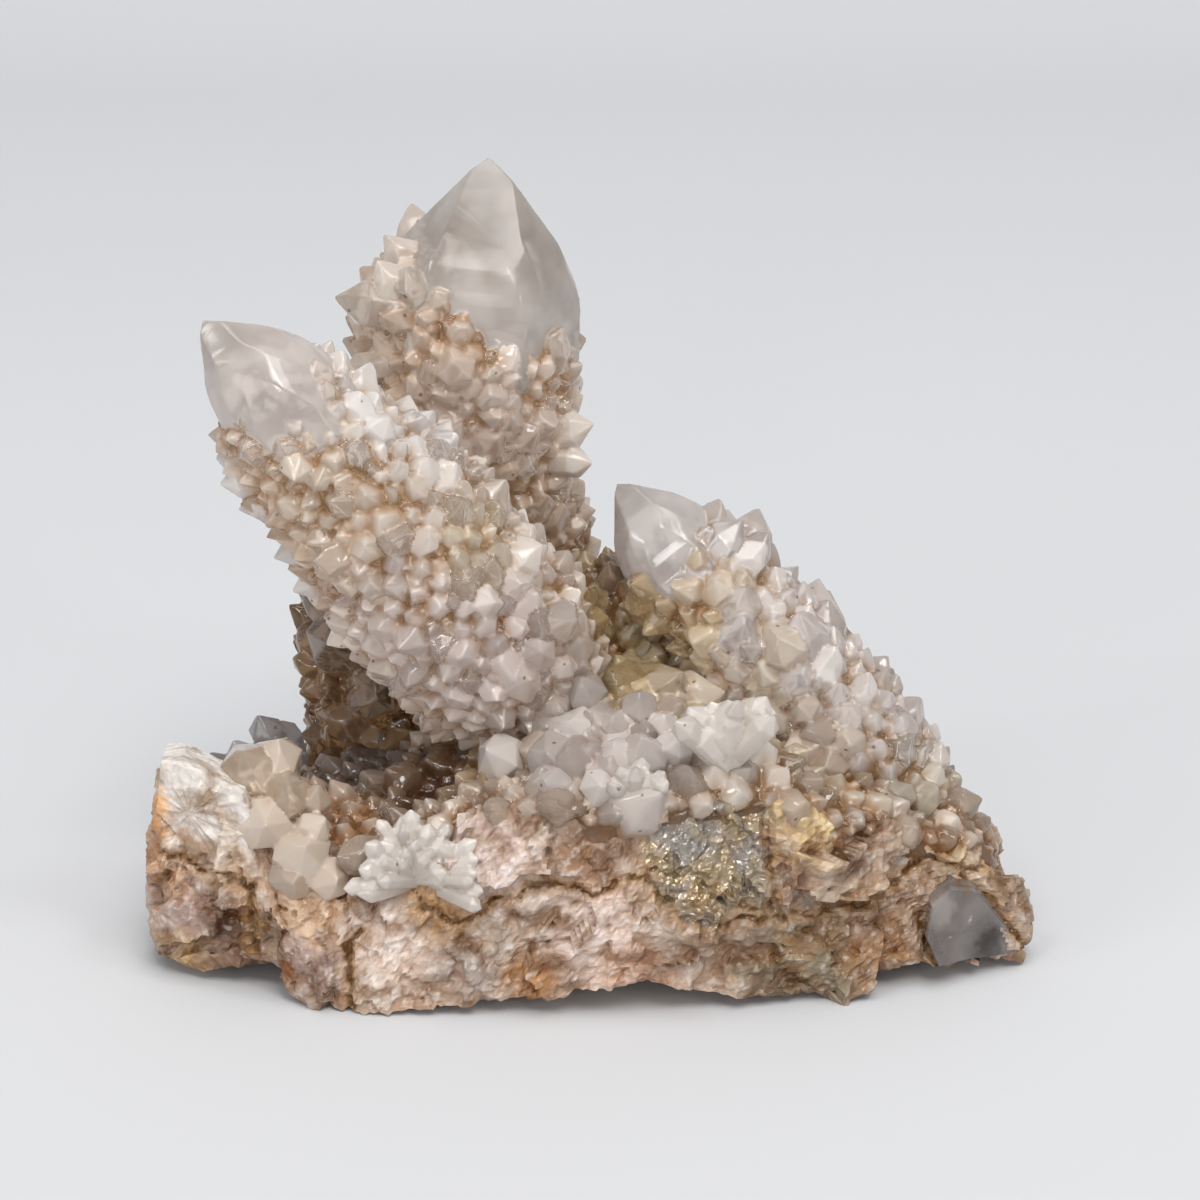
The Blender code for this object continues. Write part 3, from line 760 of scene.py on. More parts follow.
def grown_quartz():
    """Clear to milky quartz, stained by iron and darkened by painted shade between its crystals, and veiled in its
    tips.
    """
    material, tree, shader = new_material("grown_quartz")
    at = tree.nodes.new("ShaderNodeTexCoord").outputs["Object"]
    tint = add_node(tree, "ShaderNodeAttribute", attribute_name="tint").outputs["Color"]
    luck = add_node(tree, "ShaderNodeAttribute", attribute_name="luck").outputs["Fac"]
    bare = add_node(tree, "ShaderNodeAttribute", attribute_name="bare").outputs["Fac"]
    clouds = add_node(tree, "ShaderNodeTexNoise", inputs={"Vector": at, "Scale": 750.0, "Detail": 1.0})
    veils = add_node(tree, "ShaderNodeTexNoise", inputs={"Vector": at, "Scale": 130.0, "Detail": 3.0})
    specks = add_node(tree, "ShaderNodeTexVoronoi", inputs={"Vector": at, "Scale": 480.0})
    milky = ramp(tree, luck, [(0.0, 0.0), (1.0, 0.55)])
    pale = add_node(tree, "ShaderNodeMath", operation="MULTIPLY", inputs={0: milky, 1: tint})
    crust = mix_colours(tree, pale.outputs[0], tint, (0.93, 0.87, 0.82))
    speck = ramp(tree, specks.outputs["Distance"], [(0.06, 0.8), (0.1, 0.0)])
    crust = mix_colours(tree, speck, crust, RUSTY_BROWN)
    veil = ramp(tree, veils.outputs["Fac"], [(0.4, 0.0), (0.68, 0.3)])
    tip = mix_colours(tree, veil, tint, (0.84, 0.80, 0.77))
    tree.links.new(mix_colours(tree, bare, crust, tip), shader.inputs["Base Color"])
    crust_clear = ramp(tree, luck, [(0.0, 0.76), (1.0, 0.34)])
    tip_clear = ramp(tree, veils.outputs["Fac"], [(0.35, 0.6), (0.68, 0.4)])
    clear = mix_colours(tree, bare, crust_clear, tip_clear)
    tree.links.new(clear, shader.inputs["Transmission Weight"])
    crust_rough = ramp(tree, clouds.outputs["Fac"], [(0.3, 0.02), (0.7, 0.1)])
    tip_rough = ramp(tree, veils.outputs["Fac"], [(0.3, 0.1), (0.75, 0.26)])
    tree.links.new(mix_colours(tree, bare, crust_rough, tip_rough), shader.inputs["Roughness"])
    shader.inputs["IOR"].default_value = 1.544
    return material


worn_shapes = make_shapes("worn_crystal", WORN_SHAPES, WORN_BEVEL)
sharp_shapes = make_shapes("sharp_crystal", SHARP_SHAPES, 0)
grow_crust = crust_tree()
quartz_material = grown_quartz()


def grown_on(bed, shapes, spacing, width, wander, seed):
    """The crystals that the tree grows on a bed, as one plain mesh."""
    holder = bpy.data.objects.new("bed", bed)
    bpy.context.scene.collection.objects.link(holder)
    modifier = holder.modifiers.new("crust", "NODES")
    modifier.node_group = grow_crust
    given = {
        "Spacing": spacing,
        "Width": width,
        "Wander": wander,
        "Seed": seed,
        "Shapes": shapes,
        "Material": quartz_material,
    }
    for item in grow_crust.interface.items_tree:
        if item.in_out == "INPUT" and item.name in given:
            modifier[item.identifier] = given[item.name]
    bpy.context.view_layer.update()
    evaluated = holder.evaluated_get(bpy.context.evaluated_depsgraph_get())
    crystals = bpy.data.meshes.new_from_object(evaluated)
    holder.modifiers.remove(modifier)
    bpy.data.objects.remove(holder)
    return crystals


def crust_on(bed, crust):
    """A bed with its crystals and the finer druse between them."""
    crystals = grown_on(bed, worn_shapes, crust["spacing"], crust["width"], crust["wander"], crust["seed"])
    druse = grown_on(bed, sharp_shapes, DRUSE_SPACING, DRUSE_WIDTH, DRUSE_WANDER, crust["seed"] + 1)
    keep(bed, "luck", np.zeros(len(bed.vertices)))
    for part in (bed, crystals, druse):
        keep(part, "bare", np.zeros(len(part.vertices)))
    return [bed, crystals, druse]


def kept(mesh, name, field, width):
    values = np.empty(len(mesh.vertices) * width, np.float32)
    mesh.attributes[name].data.foreach_get(field, values)
    return values.reshape(-1, width)


def modified(name, mesh, kind, **settings):
    """A plain mesh, as one modifier leaves the given mesh."""
    holder = bpy.data.objects.new(name, mesh)
    bpy.context.scene.collection.objects.link(holder)
    modifier = holder.modifiers.new(name, kind)
    for setting, value in settings.items():
        setattr(modifier, setting, value)
    bpy.context.view_layer.update()
    evaluated = holder.evaluated_get(bpy.context.evaluated_depsgraph_get())
    result = bpy.data.meshes.new_from_object(evaluated)
    bpy.data.objects.remove(holder)
    return result


def bulge(mesh):
    """How far each point stands out from its neighbours: over 0 on an edge, under 0 in a gap."""
    places = places_of(mesh)
    edges = np.empty(len(mesh.edges) * 2, np.int32)
    mesh.edges.foreach_get("vertices", edges)
    one, other = edges.reshape(-1, 2).T
    start, end = np.concatenate([one, other]), np.concatenate([other, one])
    count = np.bincount(start, minlength=len(places))
    around = [np.bincount(start, places[end, side], len(places)) / count for side in range(3)]
    out = ((places - np.column_stack(around)) * directions_of(mesh)).sum(axis=1)
    out /= np.linalg.norm(places[one] - places[other], axis=1).mean()
    return (out + np.bincount(start, out[end], len(places)) / count) / 2


def stain_and_shade_gaps(mesh, tint, bare, bed):
    """The tint with iron stain and painted shade deep between the crystals, and painted highlights on their edges.
    """
    out = bulge(mesh)
    # Iron stain and painted shade, darkest in the hollows between crystals and near the bed.
    iron = 0.6 * smooth_step((-0.02 - out) / 0.14)
    if bed:
        floor = BVHTree.FromPolygons(places_of(bed).tolist(), [list(face.vertices) for face in bed.polygons])
        height = np.array([floor.find_nearest(vertex.co)[3] for vertex in mesh.vertices])
        deep = IRON_AND_SHADE_DEPTH + 0.5 * cloudy(places_of(mesh), 4.0)
        iron = np.maximum(iron, smooth_step((deep - height) / IRON_AND_SHADE_DEPTH))
    iron *= 1 - bare
    # A painted highlight: pale colour on the crystals' edges where they stand out.
    edge = 0.3 * smooth_step((out - 0.04) / 0.16) * (1 - bare)
    stained_tint = tint[:, :3] * (1 - iron[:, None] * (1 - IRON_AND_SHADE_TINT))
    stained_tint += (PAINTED_EDGE_HIGHLIGHT - stained_tint) * edge[:, None] * tint[:, :1]
    return np.column_stack([stained_tint, tint[:, 3]])


def melt(name, parts, grain, most, bed=None):
    """One closed skin over parts that overlap, of at most so many triangles. Each point of it
    keeps the marks of the part nearest to it, with iron stain and painted shade in the gaps down to the bed."""
    places = np.concatenate([places_of(part) for part in parts]).tolist()
    faces, first = [], 0
    for part in parts:
        faces += [[first + corner for corner in face.vertices] for face in part.polygons]
        first += len(part.vertices)
    loose = bpy.data.meshes.new(name)
    loose.from_pydata(places, [], faces)
    melted = modified(name, loose, "REMESH", mode="VOXEL", voxel_size=grain)
    share = most / (2 * len(melted.polygons))
    if share < 1:
        melted = modified(name, melted, "DECIMATE", ratio=share)
    nearest = BVHTree.FromPolygons(places, faces)
    source = [faces[nearest.find_nearest(vertex.co)[2]][0] for vertex in melted.vertices]
    marks = {}
    for mark, field, width in (("tint", "color", 4), ("luck", "value", 1), ("bare", "value", 1)):
        marks[mark] = np.concatenate([kept(part, mark, field, width) for part in parts])[source]
    marks["tint"] = stain_and_shade_gaps(melted, marks["tint"], marks["bare"][:, 0], bed)
    for mark, values in marks.items():
        keep(melted, mark, values)
    melted.shade_smooth()
    melted.set_sharp_from_angle(angle=FACET_ANGLE)
    return melted


def fan(centre, middle, out, spread, count, width, length, seed):
    """Crystals that radiate from a centre on a face that looks out, as lone_crystals takes them."""
    rng = random.Random(seed)
    middle, out = Vector(middle).normalized(), Vector(out).normalized()
    crystals = []
    for number in range(count):
        turn = math.radians(spread) * (number / (count - 1) - 0.5) + rng.uniform(-0.08, 0.08)
        towards = Matrix.Rotation(turn, 3, out) @ middle + out * rng.uniform(0.05, 0.5)
        reach = length * rng.uniform(0.75, 1.08)
        tip = Vector(centre) + towards.normalized() * reach
        crystals.append((tuple(tip), tuple(towards), width * rng.uniform(0.75, 1.2), reach))
    return crystals


def lone_crystals(crystals, tint, proud=0.0, milky=0.0):
    """Single crystals that stand out of a crust: the tip, direction, width and length of each.
    All of them are moved out by proud, each the way that it points, and are at least so milky."""
    rng = random.Random(SEED)
    bm = bmesh.new()
    lucks = []
    for tip, towards, width, length in crystals:
        axis = Vector(towards).normalized()
        tip = Vector(tip) + axis * proud
        sides = [(width / 2 * rng.uniform(0.85, 1.1), width * rng.uniform(0, 0.16)) for _ in range(6)]
        planes = [(Vector(tip) - axis * length, -axis)]
        planes += face_planes(Vector(tip), axis, axis.orthogonal().normalized(), sides, rng.uniform(0, 60))
        crystal = cut_crystal(4 * length, Vector(tip), planes)
        wear_edges(crystal, crystal.edges[:], 0.1)
        lucks += [milky + (1 - milky) * rng.random()] * len(crystal.verts)
        one = bpy.data.meshes.new("lone")
        crystal.to_mesh(one)
        crystal.free()
        bm.from_mesh(one)
        bpy.data.meshes.remove(one)
    mesh = bpy.data.meshes.new("lone_crystals")
    bm.to_mesh(mesh)
    bm.free()
    keep(mesh, "tint", np.tile((*tint, 1.0), (len(mesh.vertices), 1)))
    keep(mesh, "luck", lucks)
    keep(mesh, "bare", np.zeros(len(mesh.vertices)))
    return mesh


# The crystals on the slab
# The same crust on the slab's own top: pale, rounded and largest on the mound in front,
# yellow in the hollow between the points, and dark with iron in the pocket at the left.
SLAB_CRUST_STAINS = [
    ((-13.0, -7.0, 14.0), 8.5, RUSTY_BROWN),
    ((-25.0, -11.0, 14.5), 8.5, PEACH),
    ((-32.0, -4.0, 15.0), 5.0, GREY),
    ((-20.0, 2.0, 12.0), 8.0, SMOKY),
    ((3.0, -14.5, 22.0), 8.5, (0.74, 0.64, 0.59)),
    ((12.0, -15.5, 21.0), 4.5, (0.84, 0.77, 0.67)),
    ((14.0, -6.0, 21.0), 7.0, (0.72, 0.57, 0.30)),
    ((20.5, -11.0, 18.0), 6.0, (0.76, 0.59, 0.38)),
    ((3.0, -5.0, 26.0), 7.0, (0.76, 0.57, 0.27)),
    ((-9.0, -11.0, 18.0), 5.0, (0.50, 0.34, 0.16)),
    ((-4.0, -1.0, 24.0), 6.0, RUST),
]
SLAB_BED_DEPTH = 3.0
SLAB_BED_SINK = 0.5


def build_slab_bed():
    """A thin shell over the slab's top, inside its rim, for the crystals to stand on."""
    rim = smooth_ring([rim for _, rim in SLAB_EDGE], 6)
    shares = np.linspace(0.03, 0.985, 40)
    rings = []
    for sink, inward in ((SLAB_BED_DEPTH, shares[::-1]), (SLAB_BED_SINK, shares)):
        for share in inward:
            flat = rim[:, :2] + (SLAB_HUB - rim[:, :2]) * share
            rings.append(np.column_stack([flat, top_height(flat[:, 0], flat[:, 1]) - sink]))
    hub = np.array([*SLAB_HUB, top_height(SLAB_HUB[:1], SLAB_HUB[1:])[0]])
    return loft("slab_bed", np.array(rings), hub - (0, 0, SLAB_BED_DEPTH), hub - (0, 0, SLAB_BED_SINK))


slab_bed = build_slab_bed()
bed_places = places_of(slab_bed)
bed_up = directions_of(slab_bed)
upper = (bed_up[:, 2] > 0.0).astype(float)
rim_out = np.column_stack([bed_places[:, :2] - SLAB_HUB, np.zeros(len(bed_places))])
rim_out /= np.linalg.norm(rim_out, axis=1)[:, None] + 1e-6
keep(slab_bed, "grow", bed_up + rim_out * 0.55)
mound = smooth_step(1.3 - np.hypot(bed_places[:, 0] - 4.0, bed_places[:, 1] + 12.0) / 12.0)
keep(slab_bed, "size", 0.85 + 0.5 * mound)
keep(slab_bed, "cover", upper)
keep(slab_bed, "tint", stained(bed_places, (0.72, 0.57, 0.44), SLAB_CRUST_STAINS))
slab_crust = crust_on(slab_bed, {"spacing": 2.1, "width": 1.5, "wander": 0.4, "seed": 11})
slab_bed.attributes["cover"].data.foreach_set("value", (upper * (mound > 0.9)).astype(np.float32))
mound_crust = grown_on(slab_bed, worn_shapes, 2.7, 1.45, 0.4, 13)
keep(mound_crust, "bare", np.zeros(len(mound_crust.vertices)))
slab_crust = melt("slab_crust", slab_crust + [mound_crust], 0.2, 170000, slab_bed)
finish_piece("slab_crust", slab_crust, quartz_material)

# Larger crystals along the slab's front, each with its tip, the way it points, its width and
# its length: on the mound, beside the white block at the left, and behind it.
MOUND_CRYSTALS = [
    ((-0.4, -9.5, 24.9), (-0.1, -0.6, 0.8), 3.6, 5.0),
    ((-3.2, -10.0, 23.7), (-0.3, -0.6, 0.75), 3.4, 5.0),
    ((4.4, -13.0, 24.5), (0.0, -0.6, 0.8), 3.0, 5.0),
    ((2.3, -14.2, 23.2), (-0.1, -0.7, 0.7), 2.6, 5.0),
    ((6.4, -14.2, 23.3), (0.1, -0.6, 0.8), 2.6, 5.0),
    ((-1.2, -13.8, 22.7), (-0.2, -0.7, 0.65), 4.6, 6.0),
    ((7.4, -16.8, 22.7), (0.15, -0.5, 0.85), 3.0, 6.0),
    ((4.6, -17.8, 22.5), (0.0, -0.6, 0.8), 3.8, 6.0),
    ((2.5, -17.6, 22.0), (-0.15, -0.6, 0.75), 3.0, 6.0),
    ((-2.8, -16.3, 21.2), (-0.25, -0.8, 0.5), 4.8, 6.0),
    ((-3.1, -18.6, 19.4), (-0.2, -0.8, 0.5), 3.6, 5.0),
    ((-7.6, -14.0, 20.4), (-0.4, -0.7, 0.55), 4.0, 5.0),
    ((1.2, -19.4, 19.6), (0.0, -0.9, 0.4), 3.2, 5.0),
]
PEACH_CRYSTALS = [
    ((-28.5, -14.0, 20.6), (-0.2, -0.6, 0.75), 5.0, 6.0),
    ((-25.6, -13.0, 21.2), (0.1, -0.5, 0.85), 4.2, 6.0),
    ((-24.6, -16.2, 18.2), (0.1, -0.75, 0.6), 4.0, 6.0),
    ((-22.1, -14.8, 17.8), (0.3, -0.4, 0.85), 2.8, 5.0),
    ((-26.5, -18.2, 15.6), (0.0, -0.95, 0.3), 4.4, 6.0),
    ((-23.1, -19.0, 14.2), (0.1, -0.8, 0.6), 4.6, 7.0),
    ((-21.6, -17.2, 16.0), (0.5, -0.5, 0.7), 2.8, 5.0),
    ((-24.2, -19.6, 11.2), (0.0, -0.95, 0.2), 3.8, 5.0),
    ((-20.6, -19.6, 11.4), (0.3, -0.9, 0.3), 3.4, 5.0),
]
GREY_CRYSTALS = [
    ((-28.2, -3.0, 19.8), (-0.3, -0.3, 0.9), 3.0, 5.0),
    ((-30.2, -5.0, 18.3), (-0.3, -0.3, 0.9), 2.6, 5.0),
    ((-32.0, -6.0, 17.4), (-0.4, -0.3, 0.85), 2.4, 5.0),
    ((-26.4, -1.0, 18.6), (-0.1, -0.4, 0.9), 3.0, 5.0),
]
WHITE_FANS = (
    fan((-13.9, -18.0, 11.0), (0.0, -0.1, 1.0), (0.0, -0.9, 0.3), 215, 25, 1.35, 6.6, 72)
    + fan((-13.9, -18.6, 11.0), (0.0, -0.3, 0.95), (0.0, -0.9, 0.3), 170, 13, 1.15, 4.3, 75)
    + fan((11.6, -16.4, 20.8), (-0.1, -0.2, 0.95), (0.0, -0.85, 0.5), 120, 13, 2.3, 7.4, 73)
    + fan((4.0, -18.8, 18.0), (0.1, -0.2, 1.0), (0.0, -0.95, 0.25), 110, 11, 1.4, 4.2, 74)
)
front_crystals = [
    lone_crystals(MOUND_CRYSTALS, (0.80, 0.72, 0.68), 1.2),
    lone_crystals(PEACH_CRYSTALS, (0.76, 0.60, 0.45), 0.2),
    lone_crystals(GREY_CRYSTALS, (0.48, 0.46, 0.47)),
    lone_crystals(WHITE_FANS, (0.84, 0.78, 0.72), 0.2, 0.4),
]
finish_piece("front_crystals", melt("front_crystals", front_crystals, 0.14, 90000), quartz_material)

# The grey window: a smooth smoky break at the slab's right end.
WINDOW_OUTLINE = [
    (28.7, 7.6), (30.4, 8.8), (32.4, 8.1), (33.7, 6.7), (36.9, 2.2), (36.6, 1.3), (29.4, 2.2), (28.3, 4.8),
]
WINDOW_STAINS = [
    ((34.0, -12.6, 2.4), 2.4, (0.07, 0.055, 0.05)),
    ((29.5, -16.0, 7.0), 2.2, (0.46, 0.42, 0.39)),
    ((32.0, -14.0, 8.6), 1.2, (0.34, 0.20, 0.08)),
]
window_mesh = build_block(
    "grey_window", WINDOW_OUTLINE, np.array((31.2, 4.6)), (27.0, -17.5, 0.68), 0.5, 1.1
)
window_places = places_of(window_mesh)
keep(window_mesh, "tint", stained(window_places, (0.27, 0.24, 0.23), WINDOW_STAINS, 1.5))
keep(window_mesh, "luck", np.full(len(window_places), 0.5))
keep(window_mesh, "bare", np.ones(len(window_places)))
finish_piece("grey_window", window_mesh, quartz_material)


# The left point
# The longest point, leaning out over the slab's end. Its tip is clear, and the crust is
# white along the top, partly painted light, tan and partly painted shade on its shaded side,
# and lilac where it swells above its root.
BED_AROUND = 72
BED_STEP = 0.5
BARE_SINK = 3.2
SHOULDER = 3.0
TIP_WEAR = 0.25
LEFT_POINT = {
    "apex": (-31.1, -9.1, 56.0),
    "root": (-3.1, -3.9, 21.4),
    "core_axis": (-0.66, -0.12, 0.74),
    "flat": 0.92,
    "rings": [(-1.6, 0.0, 3.4), (0.8, 0.2, 5.9), (3.8, 0.3, 7.5), (8.0, -0.2, 8.3), (15.6, -0.3, 8.6),
              (21.4, 0.2, 8.2), (26.4, 0.3, 7.0), (30.8, 0.2, 6.2), (34.8, 0.0, 5.5), (37.0, 0.0, 4.8)],
    "core": [(4.9, 0.9), (5.7, 0.0), (4.8, 0.7), (4.7, 0.0), (4.6, 1.2), (4.9, 0.0)],
    "core_length": 20.0,
    "roll": 28.0,
    "bare": [],
}
# The white along the top is partly painted light, and the tan on the shaded underside partly painted shade.
LEFT_STAINS_AND_PAINTED_LIGHT = [
    ((-21.0, -13.0, 41.0), 10.5, (0.80, 0.67, 0.53)),
    ((-20.6, -15.0, 39.4), 2.2, OCHRE),
    ((-26.0, -10.0, 36.0), 8.0, (0.72, 0.53, 0.35)),
    ((-10.5, -13.0, 30.0), 11.0, (0.72, 0.61, 0.57)),
    # Painted shade of the gap at the root, towards the right point, in ochre-brown.
    ((2.0, -4.0, 29.0), 4.2, (0.50, 0.34, 0.13)),
    ((-8.0, -12.0, 39.0), 5.0, (0.78, 0.67, 0.46)),
    ((-15.0, -8.0, 50.0), 8.5, (0.88, 0.85, 0.84)),
    ((-24.0, -12.0, 50.0), 4.5, (0.84, 0.77, 0.72)),
]


def directions(spec):
    """Across, depth and along: the point's own directions, along being root to apex."""
    along = (Vector(spec["apex"]) - Vector(spec["root"])).normalized()
    across = Vector((along.z, 0, -along.x)).normalized()
    return across, along.cross(across).normalized(), along


def core_planes(spec):
    axis = Vector(spec["core_axis"]).normalized()
    apex = Vector(spec["apex"])
    across = Vector((axis.z, 0, -axis.x)).normalized()
    foot = apex - axis * spec["core_length"]
    planes = [(foot, -axis)]
    for _, out in face_planes(foot, -axis, across, spec["core"], spec["roll"])[1::2]:
        planes.append((foot, out))
    return planes + face_planes(apex, axis, across, spec["core"], spec["roll"])


def depth_in_core(spec, places):
    """How far inside the smooth crystal each place is; under 0 is outside it."""
    depths = [(np.array(place) - places) @ np.array(out) for place, out in core_planes(spec)]
    return np.min(depths, axis=0)


def bareness(spec, places):
    """1 where the crust never grew over the smooth crystal, and 0 elsewhere."""
    bare = np.ones(len(places)) if spec["bare"] else np.zeros(len(places))
    for place, out in spec["bare"]:
        bare = np.minimum(bare, smooth_step(0.5 + (places - np.array(place)) @ np.array(out) / 1.5))
    return bare


def build_bed(name, spec):
    """The bed of a point's crust: a closed tube through its rings."""
    across, depth, along = (np.array(side) for side in directions(spec))
    rings = np.array(spec["rings"])
    distances = np.arange(rings[0, 0], rings[-1, 0], BED_STEP)
    offsets = np.interp(distances, rings[:, 0], rings[:, 1])
    radii = np.interp(distances, rings[:, 0], rings[:, 2])
    even = np.ones(5) / 5
    offsets = np.convolve(np.pad(offsets, 2, "edge"), even, "valid")
    radii = np.convolve(np.pad(radii, 2, "edge"), even, "valid")
    turns = np.arange(BED_AROUND) / BED_AROUND * math.tau
    out = np.cos(turns)[:, None] * across + np.sin(turns)[:, None] * depth * spec["flat"]
    middles = np.array(spec["root"]) + distances[:, None] * along + offsets[:, None] * across
    places = middles[:, None, :] + out[None, :, :] * (radii - 0.35)[:, None, None]
    flat = places.reshape(-1, 3)
    lumps = cloudy(flat, 5.0) * 0.5
    outward = np.tile(out, (len(distances), 1))
    bare = bareness(spec, flat)
    places = (flat + outward * (lumps - BARE_SINK * bare)[:, None]).reshape(places.shape)
    return loft(name, places, middles[0] - along * 0.3, middles[-1] + along * 0.3)


def grow_point(name, spec, tip_tint, clean, stains, crust, lone, lone_tint):
    """A point as one skin: its smooth crystal, the crust that leans towards its tip, and
    the larger crystals that stand out of the crust."""
    bed = build_bed(f"{name}_bed", spec)
    places = places_of(bed)
    along = np.array(directions(spec)[2])
    keep(bed, "grow", directions_of(bed) + along * crust["lean"])
    distance = (places - np.array(spec["root"])) @ along
    keep(bed, "size", np.interp(distance, *crust["sizes"]))
    inside = depth_in_core(spec, places)
    covered = (inside < crust["sunk"]) & (bareness(spec, places) < 0.3)
    keep(bed, "cover", covered.astype(float))
    keep(bed, "tint", stained(places, clean, stains))
    parts = crust_on(bed, crust) + [build_tip(spec, tip_tint), lone_crystals(lone, lone_tint)]
    skin = melt(f"{name}_point", parts, crust["grain"], crust["most"], bed)
    finish_piece(f"{name}_point", skin, quartz_material)


def build_tip(spec, tint):
    """A point's smooth crystal: round shoulders under its tip faces, and worn edges."""
    axis = Vector(spec["core_axis"]).normalized()
    bm = cut_crystal(4 * spec["core_length"], Vector(spec["apex"]), core_planes(spec))
    shoulders = []
    for edge in bm.edges:
        rises = sorted(face.normal.dot(axis) for face in edge.link_faces)
        if abs(rises[0]) < 0.2 and rises[1] > 0.4:
            shoulders.append(edge)
    wear_edges(bm, shoulders, SHOULDER, 6)
    wear_edges(bm, [edge for edge in bm.edges if edge.calc_face_angle(0) > 0.45], TIP_WEAR, 3)
    bmesh.ops.recalc_face_normals(bm, faces=bm.faces)
    mesh = bpy.data.meshes.new("smooth_crystal")
    bm.to_mesh(mesh)
    bm.free()
    keep(mesh, "tint", np.tile((*tint, 1.0), (len(mesh.vertices), 1)))
    keep(mesh, "luck", np.full(len(mesh.vertices), 0.5))
    keep(mesh, "bare", np.ones(len(mesh.vertices)))
    return mesh


# Each crystal's tip, the way it points, its width and its length.
LEFT_LONE = [
    ((-22.0, -8.0, 53.8), (0.1, -0.1, 1.0), 3.0, 6.0),
    ((-17.0, -7.5, 49.9), (0.55, -0.1, 0.83), 3.4, 6.0),
    ((-13.3, -7.0, 47.2), (0.75, -0.15, 0.65), 4.6, 7.0),
    ((-10.7, -6.8, 45.9), (0.75, -0.1, 0.65), 4.6, 7.0),
    ((-6.7, -6.3, 41.5), (0.75, -0.2, 0.62), 5.4, 8.0),
    ((-3.9, -5.5, 36.1), (0.9, -0.1, 0.4), 4.5, 7.0),
    ((-0.3, -5.0, 31.4), (0.95, -0.1, 0.2), 5.0, 7.0),
    ((-30.5, -8.0, 44.1), (-0.95, -0.1, 0.1), 3.0, 5.0),
    ((-30.1, -8.5, 42.0), (-0.95, -0.2, -0.1), 2.6, 5.0),
    ((-28.7, -8.0, 39.8), (-0.95, -0.1, -0.2), 2.8, 5.0),
    ((-25.8, -8.0, 35.5), (-0.9, -0.1, -0.3), 2.8, 5.0),
    ((-24.4, -7.0, 32.4), (-0.9, -0.1, -0.4), 3.0, 5.0),
]
grow_point("left", LEFT_POINT, (0.68, 0.62, 0.58), (0.80, 0.68, 0.58), LEFT_STAINS_AND_PAINTED_LIGHT, {
    "spacing": 1.75, "width": 1.3, "wander": 0.34, "lean": 0.3, "sunk": 0.9, "seed": 21,
    "sizes": ([0, 6, 20, 37], [1.15, 1.1, 1.0, 0.9]), "grain": 0.16, "most": 180000,
}, LEFT_LONE, (0.82, 0.79, 0.79))


# The tall point
# The thickest crystal. Its broad tip stands bare, and the crust climbs highest on its left.
TALL_POINT = {
    "apex": (-8.4, 12.3, 65.3),
    "root": (-5.5, 12.9, 18.6),
    "core_axis": (0.085, 0.02, 1.0),
    "flat": 1.0,
    "rings": [(0.0, 0.0, 6.4), (5.0, 0.0, 6.4), (11.0, 0.0, 6.1), (16.6, -0.5, 5.8), (19.4, -1.6, 6.6),
              (22.4, -2.4, 8.0), (26.5, -3.1, 8.8), (30.3, -2.8, 9.1), (34.3, -2.6, 8.8), (37.0, -3.6, 7.2),
              (39.4, -3.2, 4.4)],
    "core": [(8.2, 0.0), (7.8, 1.6), (8.0, 0.0), (8.4, 1.0), (7.8, 0.0), (6.6, 2.4)],
    "core_length": 28.0,
    "roll": -28.0,
    "bare": [((0.0, 0.0, 50.0), (0.0, 0.0, 1.0)), ((-14.0, 3.0, 57.9), (0.76, 0.0, 0.65))],
}
TALL_STAINS = [
    ((-17.0, 6.0, 48.5), 9.0, (0.62, 0.43, 0.28)),
    ((-8.0, 4.0, 41.0), 8.0, (0.68, 0.54, 0.45)),
    ((-7.6, 5.0, 36.0), 4.5, OCHRE),
    ((0.0, 10.0, 42.0), 4.0, PALE_YELLOW),
    ((-4.0, 8.0, 30.0), 9.0, (0.54, 0.38, 0.25)),
]
TALL_LONE = [
    ((-21.2, 6.0, 54.4), (-1.0, -0.15, 0.2), 4.0, 7.0),
    ((-17.8, 5.5, 57.7), (-0.45, -0.2, 0.85), 3.4, 6.0),
    ((-15.2, 4.5, 57.2), (-0.1, -0.5, 0.85), 3.2, 6.0),
    ((-20.9, 6.0, 47.9), (-0.9, -0.3, -0.1), 2.8, 5.0),
    ((-20.5, 7.0, 46.0), (-0.9, -0.2, -0.2), 2.6, 5.0),
    ((0.4, 8.0, 42.6), (0.85, -0.3, 0.3), 3.2, 6.0),
    ((0.3, 7.0, 39.6), (0.8, -0.5, 0.1), 2.8, 6.0),
]
grow_point("tall", TALL_POINT, (0.50, 0.45, 0.41), (0.76, 0.64, 0.54), TALL_STAINS, {
    "spacing": 1.75, "width": 1.3, "wander": 0.34, "lean": 0.35, "sunk": 1.9, "seed": 31,
    "sizes": ([0, 20, 40], [0.9, 1.0, 1.1]), "grain": 0.17, "most": 150000,
}, TALL_LONE, (0.76, 0.66, 0.56))


# The right point
# It leans in from the slab's right end, with larger grey-lilac crystals than the others.
RIGHT_POINT = {
    "apex": (2.5, -0.1, 39.7),
    "root": (25.7, -4.1, 11.2),
    "core_axis": (-0.62, 0.1, 0.76),
    "flat": 0.95,
    "rings": [(-3.0, 0.4, 4.4), (0.0, 0.6, 6.2), (5.0, 0.9, 6.5), (10.0, 0.9, 6.3), (16.0, 0.9, 5.9),
              (22.0, 0.8, 5.3), (27.0, 0.4, 4.8), (29.6, 0.2, 4.1)],
    "core": [(4.2, 0.7), (4.8, 0.0), (4.3, 0.5), (4.1, 0.0), (4.0, 0.9), (4.3, 0.0)],
    "core_length": 16.0,
    "roll": 24.0,
    "bare": [],
}
RIGHT_STAINS = [
    ((6.0, -5.0, 28.5), 8.0, (0.68, 0.50, 0.25)),
    ((14.0, -10.0, 22.5), 5.0, (0.58, 0.44, 0.22)),
    ((18.0, -10.0, 18.5), 5.5, (0.55, 0.41, 0.28)),
    ((28.0, -8.0, 12.0), 7.0, (0.68, 0.60, 0.44)),
]
